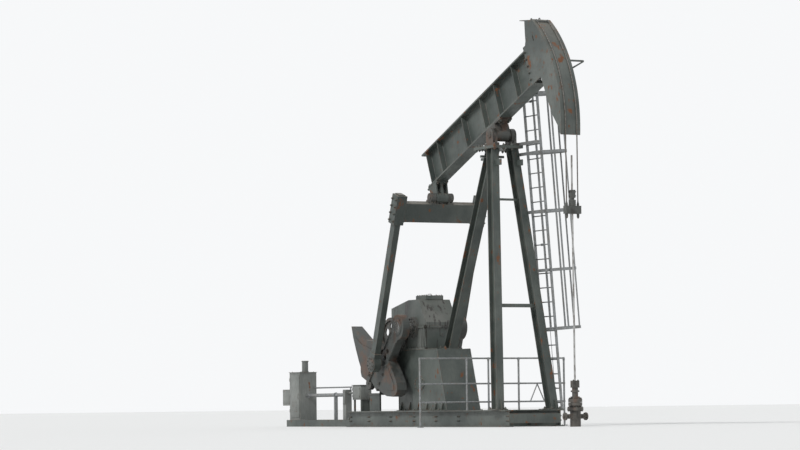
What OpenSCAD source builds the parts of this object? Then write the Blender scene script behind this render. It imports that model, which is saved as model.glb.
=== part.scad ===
// Crank balanced beam pumping unit, drawn as it stands in the photograph.
// +X runs toward the well, +Z is up, Z 0 is the underside of the skid.
// X 0 is the saddle bearing. Lengths are in millimetres, angles in degrees.

/* [Linkage] */
// Height of the saddle bearing centre over the ground
saddle_h = 6200; // [5000:10:8000]
// Saddle bearing to polished rod, the radius of the horsehead arc
head_r = 2870; // [2000:10:4000]
// Saddle bearing to equalizer bearing
tail_c = 2950; // [2000:10:4000]
// Beam tilt in the photograph, head up
beam_tilt = 22; // [-15:0.5:25]
// Equalizer bearing below the line of the beam, seen from the saddle
tail_drop = 1; // [-2:0.25:4]
// Equalizer bearing to wrist pin
pitman_p = 3865; // [3000:5:5000]
// Crankshaft centre to wrist pin
crank_r = 1070; // [800:5:1300]
// Crankshaft distance behind the saddle bearing
shaft_x = 3300; // [2800:10:3600]
// Crankshaft height over the ground
shaft_h = 2200; // [1900:10:2600]

/* [Beam] */
// Depth of the beam section
beam_h = 815; // [500:10:1000]
// Flange width of the beam section
beam_b = 300; // [200:10:450]
// Web thickness of the beam
beam_web = 22; // [12:1:40]
// Flange thickness of the beam
beam_fl = 34; // [16:1:60]
// Underside of the beam over the saddle bearing centre
beam_lift = 268; // [160:2:320]
// Beam end behind the saddle bearing
beam_tail = 3125; // [2600:10:4000]
// Beam end ahead of the saddle bearing
beam_nose = 1950; // [1600:10:2500]

/* [Horsehead] */
// Width of the horsehead over its side plates
head_w = 400; // [250:5:600]
// Side plate thickness of the horsehead
head_t = 20; // [8:1:40]
// Thickness of the curved face plate
face_t = 25; // [10:1:50]
// Arc of the face above the beam direction
arc_up = 31.2; // [20:0.5:40]
// Arc of the face below the beam direction
arc_down = 26.5; // [20:0.5:40]

/* [Bridle] */
// Bridle wire diameter
wire_d = 26; // [16:1:40]
// Distance between the two bridle wires
wire_gap = 270; // [150:5:400]
// Top of the carrier bar over the ground
carrier_z = 4514; // [3500:10:5200]
// Polished rod diameter
rod_d = 38; // [25:1:60]
// Top end of the polished rod over the ground
rod_top = 5555; // [5000:10:5800]

/* [Post] */
// Half spread of the front legs at the top
leg_top_y = 240; // [150:2:400]
// Half spread of the front legs at the skid
leg_foot_y = 661; // [500:5:900]
// Front legs ahead of the saddle bearing at the top
leg_top_x = 40; // [0:2:200]
// Front legs ahead of the saddle bearing at the skid
leg_foot_x = 850; // [500:5:1200]
// Leg section, flange width
leg_b = 170; // [120:5:300]
// Leg section, depth
leg_d = 240; // [120:5:350]
// Rear leg behind the saddle bearing at the top
rear_top_x = 380; // [200:5:500]
// Rear leg behind the saddle bearing at the pedestal
rear_foot_x = 2340; // [1800:10:2700]
// Thickness of the plate on top of the post
cap_t = 60; // [30:2:100]

/* [Ladder] */
// Distance between rungs
rung_pitch = 304.8; // [250:0.1:350]
// Clear width between the ladder rails
ladder_w = 550; // [300:5:600]
// Middle of the ladder ahead of the saddle bearing
ladder_x = 665; // [500:5:1200]
// Middle of the ladder rails from the centre line, at the ground
ladder_y = 870; // [840:5:1000]
// Height of the top of the ladder rails
ladder_top_z = 7100; // [6000:10:7600]
// Radius of the safety cage
cage_r = 365; // [300:5:450]
// Number of cage hoops
hoops = 5; // [4:1:5]

/* [Skid] */
// Height of the skid beams
skid_h = 355; // [250:5:500]
// Flange width of the skid beams
skid_b = 200; // [120:5:300]
// Middle of each skid beam from the centre line
skid_y = 620; // [450:5:900]
// Skid front end ahead of the saddle bearing
skid_front = 1250; // [900:10:1800]
// Skid rear end behind the saddle bearing
skid_rear = 6000; // [5000:10:8000]

/* [Reducer] */
// Underside of the gear reducer over the ground
case_z = 1700; // [1400:10:1900]
// Half width of the gear case
case_y = 390; // [300:5:520]
// Top of the gear case over the ground
case_top = 2810; // [2600:10:3000]
// Gear case end ahead of the crankshaft
case_front = 560; // [450:5:700]
// Gear case end behind the crankshaft
case_rear = 1060; // [900:5:1300]
// Radius of the reducer sheave
sheave_r = 430; // [300:5:550]

/* [Cranks] */
// Inner face of the crank from the centre line
crank_y = 640; // [600:5:800]
// Thickness of the crank
crank_t = 170; // [100:5:260]
// Half width of the crank
crank_half = 190; // [150:5:260]
// Thickness of a counterweight
weight_t = 240; // [150:5:300]
// Pitman middle plane from the centre line
pitman_y = 1020; // [900:5:1300]
// Pitman section, across the machine
pitman_b = 140; // [90:5:220]
// Pitman section, along the machine
pitman_d = 190; // [90:5:260]

/* [Drive] */
// Motor shaft behind the saddle bearing
motor_x = 5200; // [4900:10:6000]
// Motor shaft height
motor_z = 980; // [800:10:1200]
// Motor sheave radius
motor_sheave_r = 130; // [80:5:200]
// Middle plane of the belts
belt_y = -500; // [-540:5:-480]
// Width over the belts
belt_w = 90; // [60:5:120]

/* [Cabinet] */
// Middle of the cabinet behind the saddle bearing
cabinet_x = 9680; // [7500:10:10500]
// Length of the cabinet along the machine
cabinet_l = 560; // [300:10:1200]
// Width of the cabinet across the machine
cabinet_w = 440; // [300:10:900]
// Top of the cabinet over the ground
cabinet_top = 1290; // [1000:10:1800]

/* [Guard rail] */
// Guard rail plane behind the saddle bearing
guard_x = 500; // [300:10:900]
// Half length of the guard rail
guard_y = 1795; // [1200:10:2400]
// Height of the top rail
guard_h = 1480; // [1000:10:1600]
// Guard tube diameter
guard_d = 42; // [25:1:60]

/* [Wellhead] */
// Top of the stuffing box
stuffing_top = 940; // [700:5:1200]

/* [Clearances] */
// Side clearance between moving bodies
side_gap = 8; // [5:1:20]
// Radial clearance in a bearing
bearing_gap = 0.1; // [0.05:0.01:0.2]
// Seat clearance between pieces that only rest on each other
seat_gap = 0.3; // [0.1:0.1:1]

/* [View] */

/* [Hidden] */

// Places worked out from the linkage.
tail_turn = beam_tilt + tail_drop;
tail_pos = [-tail_c * cos(tail_turn), 0, saddle_h - tail_c * sin(tail_turn)];
// The equalizer bearing in the frame of the beam.
tail_u = -tail_c * cos(tail_drop);
tail_w = -tail_c * sin(tail_drop);
shaft_pos = [-shaft_x, 0, shaft_h];
link_v = shaft_pos - tail_pos;
link_l = norm(link_v);
link_a = (pitman_p * pitman_p - crank_r * crank_r + link_l * link_l) / (2 * link_l);
link_o = sqrt(pitman_p * pitman_p - link_a * link_a);
link_u = link_v / link_l;
wrist_pos = tail_pos + link_a * link_u + link_o * [link_u[2], 0, -link_u[0]];
// Turn about Y that takes straight down to the pitman and to the crank.
pitman_turn = atan2(tail_pos[0] - wrist_pos[0], tail_pos[2] - wrist_pos[2]);
crank_turn = atan2(shaft_pos[0] - wrist_pos[0], shaft_pos[2] - wrist_pos[2]);

skid_top = skid_h;
beam_mid = beam_lift + beam_h / 2;
bearing_h = 230;
cap_top = saddle_h - bearing_h;
leg_top_z = cap_top - cap_t;
wire_x = head_r;
face_r = head_r - wire_d / 2;
carrier_h = 164;
// How far a cut runs past its piece.
cut = 1;

// I section standing on its lower flange, along +Z, flanges square to X.
module i_section(b, h, web, fl) {
    square([web, h], center = true);
    for (s = [-1, 1]) {
        translate([0, s * (h - fl) / 2]) {
            square([b, fl], center = true);
        }
    }
}

// Straight member from p to q with a flat section square to it.
module member(p, q, turn = 0) {
    v = q - p;
    l = norm(v);
    translate(p) {
        rotate([0, acos(v[2] / l), atan2(v[1], v[0])]) {
            rotate([0, 0, turn]) {
                linear_extrude(height = l) {
                    children();
                }
            }
        }
    }
}

// Plate standing in the XZ plane, its middle at y.
module side_plate(y, t) {
    translate([0, y + t / 2, 0]) {
        rotate([90, 0, 0]) {
            linear_extrude(height = t) {
                children();
            }
        }
    }
}

// Round bar along Y.
module y_bar(r, y0, y1) {
    translate([0, y1, 0]) {
        rotate([90, 0, 0]) {
            cylinder(r = r, h = y1 - y0, $fn = 48);
        }
    }
}

// Frame of the beam: X along the beam, origin in the saddle bearing.
module in_beam() {
    translate([0, 0, saddle_h]) {
        rotate([0, -beam_tilt, 0]) {
            children();
        }
    }
}

// Frame of the equalizer: -Z along the pitmans, origin in its bearing.
module in_pitman() {
    translate(tail_pos) {
        rotate([0, pitman_turn, 0]) {
            children();
        }
    }
}

// Frame of the cranks: -Z along the crank, origin in the crankshaft.
module in_crank() {
    translate(shaft_pos) {
        rotate([0, crank_turn, 0]) {
            children();
        }
    }
}

// Skid.
skid_fl = 24;
module skid_beams() {
    color([0.16, 0.17, 0.17]) {
        for (s = [-1, 1]) {
            translate([-skid_rear, s * skid_y, skid_h / 2]) {
                rotate([90, 0, 90]) {
                    linear_extrude(height = skid_front + skid_rear) {
                        i_section(skid_b, skid_h, skid_web, skid_fl);
                    }
                }
            }
        }
    }
}

skid_web = 16;
cross_h = 200;
cross_b = 100;
cross_x = [skid_front - cross_b / 2, 0, -900, -1900, -2900, -4000, -5050,
    -skid_rear + cross_b / 2];
module skid_cross_members() {
    inner = skid_y - skid_web / 2 - seat_gap;
    color([0.17, 0.17, 0.17]) {
        for (x = cross_x) {
            translate([x - cross_b / 2, -inner, (skid_h - cross_h) / 2]) {
                cube([cross_b, 2 * inner, cross_h]);
            }
        }
        translate([-cross_b / 2, -skid_y + skid_b / 2 + seat_gap, 0]) {
            cube([cross_b, 2 * (skid_y - skid_b / 2 - seat_gap), skid_h / 2]);
        }
    }
}

// Pedestal under the reducer.
ped_y = 415;
ped_plate = 40;
ped_rake = 420;
ped_step_z = 1250;
ped_foot_x = 700;
ped_foot_z = 1000;
ped_hole_rake = 300;
ped_hole_in = 60;
module pedestal() {
    top = case_z - seat_gap;
    front_top = rear_foot_x - rear_foot_half_x;
    color([0.17, 0.18, 0.18]) {
        difference() {
            side_plate(0, 2 * ped_y) {
                polygon([[-front_top + ped_rake, skid_top], [-front_top, top],
                    [-shaft_x - case_rear - ped_plate, top],
                    [-shaft_x - case_rear - ped_plate, ped_step_z],
                    [-shaft_x - ped_foot_x, ped_foot_z], [-shaft_x - ped_foot_x, skid_top]]);
            }
            side_plate(0, 2 * ped_y - 2 * ped_plate) {
                polygon([[-front_top + ped_hole_rake, skid_top - cut],
                    [-front_top - ped_hole_in, top - ped_plate],
                    [-shaft_x - case_rear, top - ped_plate],
                    [-shaft_x - case_rear, ped_step_z + ped_plate],
                    [-shaft_x - ped_foot_x - ped_plate, ped_foot_z + ped_plate],
                    [-shaft_x - ped_foot_x - ped_plate, skid_top - cut]]);
            }
        }
    }
}

// Samson post.
leg_web = 14;
leg_fl = 20;
leg_plate = 20;
leg_spare = 200;
leg_foot = [leg_foot_x, leg_foot_y, skid_top + leg_plate];
leg_head = [leg_top_x, leg_top_y, leg_top_z];
rear_foot = [-rear_foot_x, 0, case_z + leg_plate];
rear_head = [-rear_top_x, 0, leg_top_z];
leg_lean = atan2(leg_foot[1] - leg_head[1], leg_head[2] - leg_foot[2]);
leg_rake = atan2((leg_foot[0] - leg_head[0]) * cos(leg_lean), leg_head[2] - leg_foot[2]);
function on_leg(z, s) = let (f = (z - leg_foot[2]) / (leg_head[2] - leg_foot[2]))
    [leg_foot[0] + f * (leg_head[0] - leg_foot[0]),
     s * (leg_foot[1] + f * (leg_head[1] - leg_foot[1])), z];
function on_rear(z) = let (f = (z - rear_foot[2]) / (rear_head[2] - rear_foot[2]))
    [rear_foot[0] + f * (rear_head[0] - rear_foot[0]), 0, z];

foot_half_x = 170;
foot_half_y = 150;
// Space that the legs are trimmed to, between their foot plates and the cap.
trim_back = 500;
trim_l = 2500;
trim_w = 1500;
module front_leg() {
    color([0.15, 0.16, 0.16]) {
        intersection() {
            translate(leg_foot) {
                rotate([leg_lean, 0, 0]) {
                    rotate([0, -leg_rake, 0]) {
                        translate([0, 0, -leg_spare]) {
                            linear_extrude(height = norm(leg_head - leg_foot) + 2 * leg_spare) {
                                rotate(90) {
                                    i_section(leg_b, leg_d, leg_web, leg_fl);
                                }
                            }
                        }
                    }
                }
            }
            translate([-trim_back, 0, leg_foot[2]]) {
                cube([trim_l, trim_w, leg_top_z - leg_foot[2]]);
            }
        }
        translate([leg_foot_x - foot_half_x, leg_foot_y - foot_half_y, skid_top + seat_gap]) {
            cube([2 * foot_half_x, 2 * foot_half_y, leg_plate]);
        }
    }
}

module front_legs() {
    front_leg();
    mirror([0, 1, 0]) {
        front_leg();
    }
}

rear_wider = 40;
rear_foot_half_x = 130;
rear_foot_half_y = 220;
rear_trim_back = 3500;
rear_trim_l = 4000;
module rear_leg() {
    color([0.15, 0.16, 0.16]) {
        intersection() {
            member(on_rear(case_z - leg_spare), on_rear(leg_top_z + leg_spare), 0) {
                rotate(90) {
                    i_section(leg_b + rear_wider, leg_d, leg_web, leg_fl);
                }
            }
            translate([-rear_trim_back, -trim_w, case_z + leg_plate]) {
                cube([rear_trim_l, 2 * trim_w, leg_top_z - case_z - leg_plate]);
            }
        }
        translate([-rear_foot_x - rear_foot_half_x, -rear_foot_half_y, case_z]) {
            cube([2 * rear_foot_half_x, 2 * rear_foot_half_y, leg_plate]);
        }
    }
}

brace_z = [4817, 2552];
brace_h = [46, 76];
brace_b = 60;
module leg_braces() {
    color([0.16, 0.16, 0.17]) {
        for (i = [0 : len(brace_z) - 1]) {
            z = brace_z[i];
            up = brace_h[i] / 2;
            half = on_leg(z + up, 1)[1] - (leg_web / 2 + 2 * seat_gap) / cos(leg_lean);
            translate([on_leg(z, 1)[0] - brace_b / 2, -half, z - up]) {
                cube([brace_b, 2 * half, 2 * up]);
            }
        }
    }
}

cap_x0 = -560;
cap_x1 = 300;
cap_half = 360;
module post_cap() {
    color([0.16, 0.17, 0.17]) {
        translate([cap_x0, -cap_half, cap_top - cap_t + seat_gap]) {
            cube([cap_x1 - cap_x0, 2 * cap_half, cap_t - seat_gap]);
        }
    }
}

saddle_shaft_r = 75;
saddle_half = 290;
house_r = 150;
house_w = 110;
house_foot = 230;
house_foot_t = 60;
module saddle_housings() {
    color([0.2, 0.2, 0.21]) {
        for (s = [-1, 1]) {
            translate([0, s * (saddle_half - house_w / 2), saddle_h]) {
                difference() {
                    union() {
                        y_bar(house_r, -house_w / 2, house_w / 2);
                        translate([-house_foot, -house_w / 2, cap_top - saddle_h]) {
                            cube([2 * house_foot, house_w, house_foot_t]);
                        }
                        translate([-house_r, -house_w / 2, cap_top - saddle_h + house_foot_t]) {
                            cube([2 * house_r, house_w, saddle_h - cap_top - house_foot_t]);
                        }
                    }
                    y_bar(saddle_shaft_r + bearing_gap, -house_w, house_w);
                }
            }
        }
    }
}

// Ladder and cage.
// It leans with the front legs and stays level across.
ladder_len = ladder_top_z / cos(leg_lean);
rail_b = 60;
rail_t = 14;
rung_d = 25;
rung_z0 = 192;
hoop_z0 = 2026;
hoop_pitch = 1250;
hoop_h = 60;
hoop_t = 8;
strap_b = 40;
rail_x = (ladder_w + rail_t) / 2;

// Frame of the ladder: Z up along it, rungs along X, the cage toward +Y.
module in_ladder() {
    translate([ladder_x, ladder_y, 0]) {
        rotate([leg_lean, 0, 0]) {
            children();
        }
    }
}

// The rails end above the skid on short posts with flat foot bars.
rail_start = 75;
foot_bar_b = 50;
foot_bar_t = 14;
foot_bar_over = 10;
foot_post_b = 28;
foot_post_in = 8;
foot_post_h = 110;
module ladder() {
    foot_y = ladder_y - skid_top * tan(leg_lean);
    foot_z = skid_top + seat_gap;
    color([0.3, 0.31, 0.32]) {
        in_ladder() {
            for (s = [-1, 1]) {
                translate([s * rail_x - rail_t / 2, -rail_b / 2, foot_z + rail_start]) {
                    cube([rail_t, rail_b, ladder_len - foot_z - rail_start]);
                }
            }
            for (i = [1 : floor((ladder_len - rung_z0) / rung_pitch)]) {
                translate([-ladder_w / 2 - rail_t / 2, 0, rung_z0 + i * rung_pitch]) {
                    rotate([0, 90, 0]) {
                        cylinder(d = rung_d, h = ladder_w + rail_t, $fn = 24);
                    }
                }
            }
        }
        for (s = [-1, 1]) {
            bar_x = ladder_x + s * rail_x;
            meets_plate = abs(bar_x - leg_foot_x) < foot_half_x + foot_bar_b / 2;
            bar_y = meets_plate ? leg_foot_y + foot_half_y + seat_gap : skid_y;
            translate([bar_x - foot_bar_b / 2, bar_y, foot_z]) {
                cube([foot_bar_b, foot_y - bar_y + rail_b / 2 + foot_bar_over, foot_bar_t]);
            }
            translate([bar_x - foot_post_b / 2, foot_y - rail_b / 2 + foot_post_in, foot_z]) {
                cube([foot_post_b, rail_b - 2 * foot_post_in, foot_post_h]);
            }
        }
    }
}

// Hoop round the climber, open toward the ladder.
module cage_hoops() {
    wing = cage_r - ladder_w / 2 - rail_t - seat_gap;
    color([0.3, 0.31, 0.32]) {
        in_ladder() {
            for (i = [0 : hoops - 1]) {
                translate([0, 0, hoop_z0 + i * hoop_pitch]) {
                    linear_extrude(height = hoop_h) {
                        difference() {
                            union() {
                                translate([0, cage_r]) {
                                    circle(r = cage_r + hoop_t, $fn = 96);
                                }
                                translate([-cage_r - hoop_t, -rail_b / 2]) {
                                    square([2 * (cage_r + hoop_t), cage_r + rail_b / 2]);
                                }
                            }
                            translate([0, cage_r]) {
                                circle(r = cage_r, $fn = 96);
                            }
                            translate([-cage_r, -rail_b / 2 - cut]) {
                                square([2 * cage_r, cage_r + rail_b / 2 + cut]);
                            }
                        }
                        for (s = [-1, 1]) {
                            translate([s > 0 ? cage_r - wing : -cage_r - cut, -rail_b / 2]) {
                                square([wing + cut, hoop_t]);
                            }
                        }
                    }
                }
            }
        }
    }
}

strap_turns = [-52, -18, 18, 52];
strap_in = 1;
strap_side = 0.7;
module cage_straps() {
    strap_l = (hoops - 1) * hoop_pitch + hoop_h;
    color([0.3, 0.31, 0.32]) {
        in_ladder() {
            for (a = strap_turns) {
                translate([0, cage_r, hoop_z0]) {
                    rotate([0, 0, a]) {
                        translate([-strap_b / 2, cage_r - hoop_t - seat_gap - strap_in, 0]) {
                            cube([strap_b, hoop_t, strap_l]);
                        }
                    }
                }
            }
            for (s = [-1, 1]) {
                translate([s * (cage_r - hoop_t / 2 - seat_gap) - hoop_t / 2, strap_side * cage_r, hoop_z0]) {
                    cube([hoop_t, strap_b, strap_l]);
                }
            }
        }
    }
}

// Bars that carry the ladder, on the flanges of the front leg under the hoops
// and one on top of the post.
bar_h = 64;
bar_b = 60;
bar_drop = 2;
bar_room = 10;
bar_back = 200;
link_b = 40;
link_in = 5;
link_low = 6;
leg_side = (leg_foot[1] + leg_foot[2] * tan(leg_lean) - ladder_y) * cos(leg_lean) + leg_b / 2;
module ladder_brackets() {
    color([0.3, 0.31, 0.32]) {
        in_ladder() {
            for (i = [0 : hoops - 2]) {
                z = hoop_z0 + i * hoop_pitch - bar_drop;
                x0 = on_leg(z, 1)[0] - leg_d / 2 - ladder_x;
                translate([x0, leg_side + seat_gap, z]) {
                    cube([rail_x + rail_t / 2 - x0, -rail_b / 2 - leg_side - 2 * seat_gap, bar_h]);
                }
            }
        }
        y0 = saddle_half + bar_room;
        bar_z = cap_top + seat_gap;
        rail_y = ladder_y - (bar_z + bar_h) * tan(leg_lean) - rail_b / 2 / cos(leg_lean) - seat_gap;
        translate([-bar_back, y0, bar_z]) {
            cube([ladder_x + rail_x + rail_t + bar_back, bar_b, bar_h]);
        }
        for (s = [-1, 1]) {
            translate([ladder_x + s * rail_x - link_b / 2, y0 + bar_b - link_in, bar_z + link_low]) {
                cube([link_b, rail_y - y0 - bar_b + link_in, bar_h - 2 * link_low]);
            }
        }
    }
}

// Gear reducer.
flange_out = 25;
flange_t = 44;
flange_end = 20;
case_neck = 100;
case_nose = 235;
case_back = 250;
case_slope = 165;
shaft_r = 125;
cap_r = 230;
cap_depth = 70;
shaft_cut = 60;
module gear_case() {
    front = -shaft_x + case_front;
    rear = -shaft_x - case_rear;
    color([0.19, 0.2, 0.2]) {
        difference() {
            union() {
                side_plate(0, 2 * case_y) {
                    polygon([[front, case_z], [front, shaft_h + case_neck], [-shaft_x + case_nose, case_top],
                        [-shaft_x - case_back, case_top], [rear, case_top - case_slope], [rear, case_z]]);
                }
                for (z = [case_z, shaft_h - flange_t / 2]) {
                    side_plate(0, 2 * (case_y + flange_out)) {
                        translate([rear - flange_end, z]) {
                            square([front - rear + 2 * flange_end, flange_t]);
                        }
                    }
                }
            }
            translate(shaft_pos) {
                y_bar(shaft_r + bearing_gap, -case_y - shaft_cut, case_y + shaft_cut);
                y_bar(cap_r + seat_gap, case_y, case_y + shaft_cut);
                y_bar(cap_r + seat_gap, -case_y - shaft_cut, -case_y);
            }
        }
    }
}

lid_back = 210;
lid_l = 460;
lid_w = 440;
lid_h = 90;
module inspection_cover() {
    color([0.2, 0.2, 0.2]) {
        translate([-shaft_x - lid_back, -lid_w / 2, case_top + seat_gap]) {
            cube([lid_l, lid_w, lid_h]);
        }
    }
}

module shaft_bearing_caps() {
    color([0.21, 0.21, 0.22]) {
        for (s = [-1, 1]) {
            translate([shaft_pos[0], s * (case_y + cap_depth / 2 + seat_gap), shaft_h]) {
                difference() {
                    y_bar(cap_r, -cap_depth / 2, cap_depth / 2);
                    y_bar(shaft_r + bearing_gap, -shaft_cut, shaft_cut);
                }
            }
        }
    }
}

input_in = 230;
input_x = -shaft_x - case_rear + input_in;
input_z = 2000;
drum_r = 210;
drum_l = 90;
module brake_drum() {
    color([0.25, 0.24, 0.23]) {
        translate([input_x, 0, input_z]) {
            y_bar(drum_r, case_y + flange_out + seat_gap, case_y + flange_out + drum_l);
        }
    }
}

sheave_rim = 55;
sheave_web = 26;
sheave_lip = 6;
sheave_cut = 10;
// Six holes in the web of the sheave, as shares of its radius.
web_hole_at = 0.56;
web_hole_r = 0.19;
hub_r = 95;
module sheaves() {
    outer = belt_y - belt_w / 2 - sheave_lip;
    inner = belt_y + belt_w / 2 + sheave_lip;
    color([0.22, 0.22, 0.22]) {
        translate([-motor_x, 0, motor_z]) {
            y_bar(motor_sheave_r, outer, inner);
        }
        translate([input_x, 0, input_z]) {
            difference() {
                y_bar(sheave_r, outer, inner);
                y_bar(sheave_r - sheave_rim, outer - sheave_cut, belt_y - sheave_web / 2);
                y_bar(sheave_r - sheave_rim, belt_y + sheave_web / 2, inner + sheave_cut);
                for (a = [0 : 60 : 300]) {
                    rotate([0, a, 0]) {
                        translate([0, 0, sheave_r * web_hole_at]) {
                            y_bar(sheave_r * web_hole_r, outer - sheave_cut, inner + sheave_cut);
                        }
                    }
                }
            }
            y_bar(hub_r, outer, -case_y - seat_gap);
        }
    }
}

belt_t = 14;
belt_facets = [64, 48];
module belt_outline(grow) {
    hull() {
        translate([input_x, input_z]) {
            circle(r = (sheave_r + grow) / cos(180 / belt_facets[0]), $fn = belt_facets[0]);
        }
        translate([-motor_x, motor_z]) {
            circle(r = (motor_sheave_r + grow) / cos(180 / belt_facets[1]), $fn = belt_facets[1]);
        }
    }
}

module drive_belts() {
    color([0.08, 0.08, 0.08]) {
        side_plate(belt_y, belt_w) {
            difference() {
                belt_outline(seat_gap + belt_t);
                belt_outline(seat_gap);
            }
        }
    }
}

motor_r = 190;
motor_l = 560;
motor_shaft_r = 28;
fan_out = 15;
fan_l = 90;
motor_foot_b = 300;
motor_foot_in = 60;
motor_foot_drop = 30;
motor_foot_h = 90;
module motor() {
    color([0.2, 0.21, 0.22]) {
        translate([-motor_x, 0, motor_z]) {
            y_bar(motor_r, -motor_l / 2, motor_l / 2);
            y_bar(motor_shaft_r, belt_y + belt_w / 2 + sheave_lip + seat_gap, -motor_l / 2);
            y_bar(motor_r + fan_out, motor_l / 2, motor_l / 2 + fan_l);
            translate([-motor_foot_b / 2, -motor_l / 2 + motor_foot_in, -motor_r - motor_foot_drop]) {
                cube([motor_foot_b, motor_l - 2 * motor_foot_in, motor_foot_h]);
            }
        }
    }
}

mount_l = 520;
mount_w = 840;
mount_t = 40;
mount_in = 20;
module motor_mount() {
    top = motor_z - motor_r - motor_foot_drop - seat_gap;
    color([0.17, 0.17, 0.17]) {
        translate([-motor_x - mount_l / 2, -mount_w / 2, top - mount_t]) {
            cube([mount_l, mount_w, mount_t]);
        }
        for (y = [-mount_w / 2 + mount_in, mount_w / 2 - mount_in - mount_t]) {
            translate([-motor_x - mount_l / 2 + mount_in, y, skid_top + seat_gap]) {
                cube([mount_l - 2 * mount_in, mount_t, top - mount_t - skid_top - seat_gap]);
            }
        }
    }
}

// Cabinet behind the unit.
ext_y = 240;
ext_h = 160;
ext_b = 80;
ext_over = 60;
module extension_rails() {
    color([0.16, 0.17, 0.17]) {
        for (s = [-1, 1]) {
            translate([-cabinet_x - cabinet_l / 2 - ext_over, s * ext_y - ext_b / 2, 0]) {
                cube([cabinet_x + cabinet_l / 2 + ext_over - skid_rear - seat_gap, ext_b, ext_h]);
            }
        }
    }
}

module cabinet() {
    color([0.2, 0.21, 0.2]) {
        translate([-cabinet_x - cabinet_l / 2, -cabinet_w / 2, ext_h + seat_gap]) {
            cube([cabinet_l, cabinet_w, cabinet_top - ext_h]);
        }
    }
}

vent_x = 120;
vent_r = 75;
vent_h = 283;
module cabinet_vent() {
    color([0.2, 0.2, 0.2]) {
        translate([-cabinet_x + vent_x, 0, cabinet_top + 2 * seat_gap]) {
            cylinder(r = vent_r, h = vent_h, $fn = 32);
        }
    }
}

pipe_z = 740;
pipe_r = 42;
pipe_l = 1970;
pipe_post_x = 1435;
pipe_post_b = 80;
pipe_post_t = 45;
module service_pipe() {
    color([0.2, 0.2, 0.2]) {
        translate([-cabinet_x + cabinet_l / 2 + seat_gap, 0, pipe_z]) {
            rotate([0, 90, 0]) {
                cylinder(r = pipe_r, h = pipe_l, $fn = 32);
            }
        }
        translate([-cabinet_x + cabinet_l / 2 + pipe_post_x, -pipe_post_b / 2, 0]) {
            cube([pipe_post_t, pipe_post_b, pipe_z]);
        }
    }
}

side_box_l = 420;
side_box_w = 300;
side_box_h = 385;
side_box_y = 200;
side_box_z = 505;
module side_box() {
    color([0.2, 0.2, 0.2]) {
        translate([-cabinet_x - cabinet_l / 2 - side_box_l - seat_gap, -side_box_y, side_box_z]) {
            cube([side_box_l, side_box_w, side_box_h]);
        }
    }
}

junction_b = 150;
junction_l = 160;
junction_h = 860;
module junction_box() {
    color([0.2, 0.2, 0.2]) {
        translate([-cabinet_x + cabinet_l / 2 + pipe_l + 2 * seat_gap, -junction_b / 2, 0]) {
            cube([junction_l, junction_b, junction_h]);
        }
    }
}

rail_side = 180;
rail_z = 920;
rail_r = 17;
rail_l = 1930;
module hand_rail() {
    color([0.25, 0.25, 0.25]) {
        translate([-cabinet_x + cabinet_l / 2 + seat_gap, rail_side, rail_z]) {
            rotate([0, 90, 0]) {
                cylinder(r = rail_r, h = rail_l, $fn = 24);
            }
        }
        translate([-cabinet_x + cabinet_l / 2 + rail_l - 3 * rail_r, rail_side, 0]) {
            cylinder(r = rail_r, h = rail_z, $fn = 24);
        }
    }
}

// Guard rail ahead of the cranks.
// Posts as shares of the half length; the inner pair stands on the skid.
guard_inner = 0.36;
guard_mid = -0.06;
guard_posts = [-1, -guard_inner, guard_mid, guard_inner, 1];
guard_drop = [560, 950];
guard_thin = 3;
module guard_rail() {
    color([0.25, 0.25, 0.25]) {
        for (f = guard_posts) {
            foot = abs(f) == guard_inner ? skid_top + seat_gap : 0;
            translate([-guard_x, f * (guard_y - guard_d / 2), foot]) {
                cylinder(d = guard_d, h = guard_h - foot, $fn = 24);
            }
        }
        for (z = [guard_h - guard_d / 2, guard_h - guard_drop[0], guard_h - guard_drop[1]]) {
            translate([-guard_x, 0, z]) {
                y_bar(guard_d / 2 - guard_thin, -guard_y + guard_d / 2, guard_y - guard_d / 2);
            }
        }
    }
}

// Wellhead. Each flange is given by its underside, radius and thickness.
well_flanges = [[330, 165, 60], [430, 143, 65], [500, 143, 65]];
well_top = 565;
well_cut = 600;
casing_r = 110;
casing_h = 420;
casing_neck_r = 100;
casing_neck_h = 560;
casing_room = 40;
outlet_z = 210;
outlet_r = 48;
outlet_end = 260;
outlet_flange_y = 245;
outlet_flange_r = 80;
outlet_flange_t = 32;
module casing_head() {
    bore = rod_d + casing_room;
    color([0.2, 0.2, 0.2]) {
        translate([wire_x, 0, 0]) {
            difference() {
                union() {
                    cylinder(r = casing_r, h = casing_h, $fn = 48);
                    for (f = well_flanges) {
                        translate([0, 0, f[0]]) {
                            cylinder(r = f[1], h = f[2], $fn = 48);
                        }
                    }
                    cylinder(r = casing_neck_r, h = casing_neck_h, $fn = 48);
                    translate([0, 0, outlet_z]) {
                        y_bar(outlet_r, -outlet_end, outlet_end);
                    }
                    for (s = [-1, 1]) {
                        translate([0, s * outlet_flange_y, outlet_z]) {
                            y_bar(outlet_flange_r, -outlet_flange_t / 2, outlet_flange_t / 2);
                        }
                    }
                }
                translate([0, 0, -cut]) {
                    cylinder(d = bore, h = well_cut, $fn = 48);
                }
            }
        }
    }
}

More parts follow.
